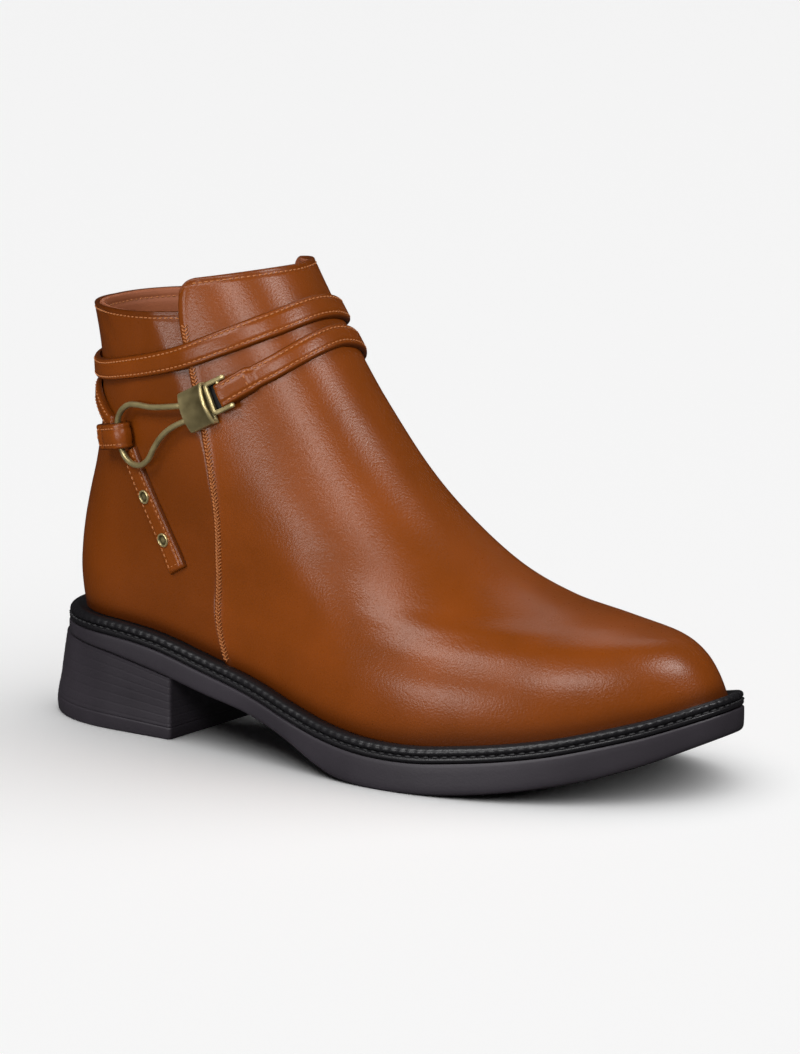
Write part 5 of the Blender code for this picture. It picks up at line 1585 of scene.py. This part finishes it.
def woven_finish(name, colours, roughness, sheen, size):
    """Woven polyester tape: crossed ribs, matt with a faint sheen, drawn at about a millimetre."""
    light, dark = colours
    material, tree, shader = new_finish(name, light, roughness, sheen_weight=sheen)
    place = add_node(tree, "ShaderNodeTexCoord").outputs["Object"]
    ribs, cross = (
        add_node(tree, "ShaderNodeTexWave", {"Vector": place, "Scale": WEAVE_BAND / (size * MM)},
                 bands_direction=bands).outputs["Fac"]
        for bands in ("Z", "X"))
    weave = add_node(tree, "ShaderNodeMath", {0: ribs, 1: cross}, operation="MULTIPLY")
    tone = add_node(tree, "ShaderNodeMix", {
        "Factor": weave.outputs[0], "A": linear(dark), "B": linear(light)}, data_type="RGBA")
    tree.links.new(tone.outputs["Result"], shader.inputs["Base Color"])
    bump = add_node(tree, "ShaderNodeBump", {
        "Height": weave.outputs[0], "Strength": WEAVE_BUMP, "Distance": WEAVE_DEEP_MM * MM})
    tree.links.new(bump.outputs["Normal"], shader.inputs["Normal"])
    return material


tape_cloth = woven_finish("brown_woven_tape", TAPE_COLOURS, TAPE_ROUGHNESS, TAPE_SHEEN, WEAVE_MM)
rise = np.linspace(*TAPE_RISE, 120)[:, None]
turn = turn_at(rise, zip_x(rise) + np.linspace(TAPE_HALF, -TAPE_HALF, 13), INNER)
rise = rise + np.zeros(turn.shape)
lift = np.full(rise.shape, TAPE_TOP)
tape = shell("zip_tape_cloth", lifted(rise, turn, lift), lifted(rise, turn, lift - TAPE_THICK), tape_cloth)
dress(tape, "boot", "zip_cloth", "zip_tape")
coil_nylon = moulded_finish("brown_coil_nylon", COIL_COLOURS, COIL_ROUGHNESS)
rise = np.linspace(*COIL_RISE, 300)
coil_runs = []
for side in (1, -1):
    coil_rise = rise + side * 0.25 * COIL_PITCH * RISE_PER_MM
    turn = turn_at(coil_rise, zip_x(rise) + side * 0.5 * COIL_HALF, INNER)
    coil_runs.append(run_on_wall(coil_rise, turn, COIL_LIFT))
coil = stitch_piece("zip_coil", coil_runs, coil_nylon, COIL_TURN_LONG, COIL_PITCH, COIL_THICK,
                    slant=COIL_HALF / COIL_TURN_LONG)
dress(coil, "boot", "zip_nylon", "zip_chain")

enamel = moulded_finish("brown_zip_enamel", ENAMEL_COLOURS, ENAMEL_ROUGHNESS, PATINA_MM)
rise = np.array(SLIDER_RISE)
zip_turn = turn_at(rise, zip_x(rise), INNER)
slider_place, forward, up, outward = local_frame(rise, zip_turn, 0.0, INNER)
rises = SLIDER_RISE + SLIDER_RISE_STEP * np.array([-1, 1])
lower, higher = last_point(rises, turn_at(rises, zip_x(rises), INNER))
beside = unit(np.cross(higher - lower, outward))
along = np.cross(outward, beside)
# Slider rings, lowest first: half width, half length, lift
SLIDER_RINGS = np.array([
    (2.0, 4.1, -2.4),
    (2.0, 4.1, 0.7),
    (3.5, 4.1, 0.72),
    (3.75, 4.25, 0.95),
    (3.8, 4.3, 1.4),
    (3.75, 4.25, 1.9),
    (3.5, 4.05, 2.18),
    (3.0, 3.6, 2.3),
])
plan = squared_circle(round_angles(SLIDER_SIDES), SLIDER_POWER)
narrow = 1 - SLIDER_TAPER * (0.5 - 0.5 * plan[:, 1])
plan_beside, plan_along = plan[:, :1] * narrow[:, None] * beside, plan[:, 1:] * along
half_wide, half_long, ring_lift = SLIDER_RINGS.T[..., None, None]
rings = slider_place + half_wide * plan_beside + half_long * plan_along + ring_lift * outward
slider = swept("zip_slider_body", rings, enamel)
dress(slider, "boot", "zip_metal", "zip_slider")
arch = np.linspace(0, math.pi, 25)[:, None]
middle = 0.5 * (BRIDGE_INNER + BRIDGE_OUTER)
leg = np.linspace(SLIDER_LIFT + 0.5 * SLIDER_PLATE, HINGE_LIFT, 5)[:-1, None]
bridge_up = np.concatenate([np.full((4, 1), middle), middle * np.cos(arch), np.full((4, 1), -middle)])
bridge_out = np.concatenate([leg, HINGE_LIFT + middle * np.sin(arch), leg[::-1]])
path = slider_place + bridge_up * up + bridge_out * outward
bridge_bar = rounded_bar(path, forward, BRIDGE_OUTER - BRIDGE_INNER, BRIDGE_WIDE)
bridge = swept("zip_slider_bridge", bridge_bar, enamel)
dress(bridge, "boot", "zip_metal")

pivot = lifted(rise, zip_turn, HINGE_LIFT)
down = np.linspace(-PULL_BAR, PULL_LONG, 120)
shoulder = step_up((down - PULL_SHOULDER[0]) / (PULL_SHOULDER[1] - PULL_SHOULDER[0]))
foot = np.clip(1 - (PULL_LONG - down) / PULL_FOOT_ROUND, 0, 1)
bar = np.clip(1 - (down + PULL_BAR) / PULL_BAR_ROUND, 0, 1)
rounding = np.sqrt(1 - PULL_FOOT_LOSS * foot**2) * np.sqrt(1 - PULL_BAR_LOSS * bar**2)
width = (PULL_NECK + (PULL_WIDE - PULL_NECK) * shoulder) * rounding
right = np.stack([0.5 * width, down], axis=-1)
outline = np.concatenate([right, (right * (-1, 1))[::-1]])
eye_middle = np.array([0.0, 0.5 * sum(EYE_SPAN)])
eye_half = np.array([EYE_HALF, 0.5 * (EYE_SPAN[1] - EYE_SPAN[0])])
ray = unit(outline - eye_middle)
eye = eye_middle + ray * np.sum((ray / eye_half)**4, axis=-1, keepdims=True)**-0.25
# Pull tab loops from its eye out and over: share of the way to the rim, millimetres further out, share
# of the thickness
PULL_LOOPS = np.array([
    (0.0, 0.0, -0.3),
    (0.0, 0.2, -0.5),
    (1.0, -0.45, -0.5),
    (1.0, -0.1, -0.32),
    (1.0, 0.0, 0.0),
    (1.0, -0.1, 0.32),
    (1.0, -0.45, 0.5),
    (0.0, 0.2, 0.5),
    (0.0, 0.0, 0.3),
])
share, outset, lift = PULL_LOOPS.T[..., None, None]
flat = eye + (outline - eye) * share + ray * outset
loops = pivot + flat[..., :1] * forward - flat[..., 1:] * up + lift * PULL_THICK * outward
pull = torus("zip_pull_tab", loops, enamel)
dress(pull, "zip_pull", "zip_metal", "zip_pull")
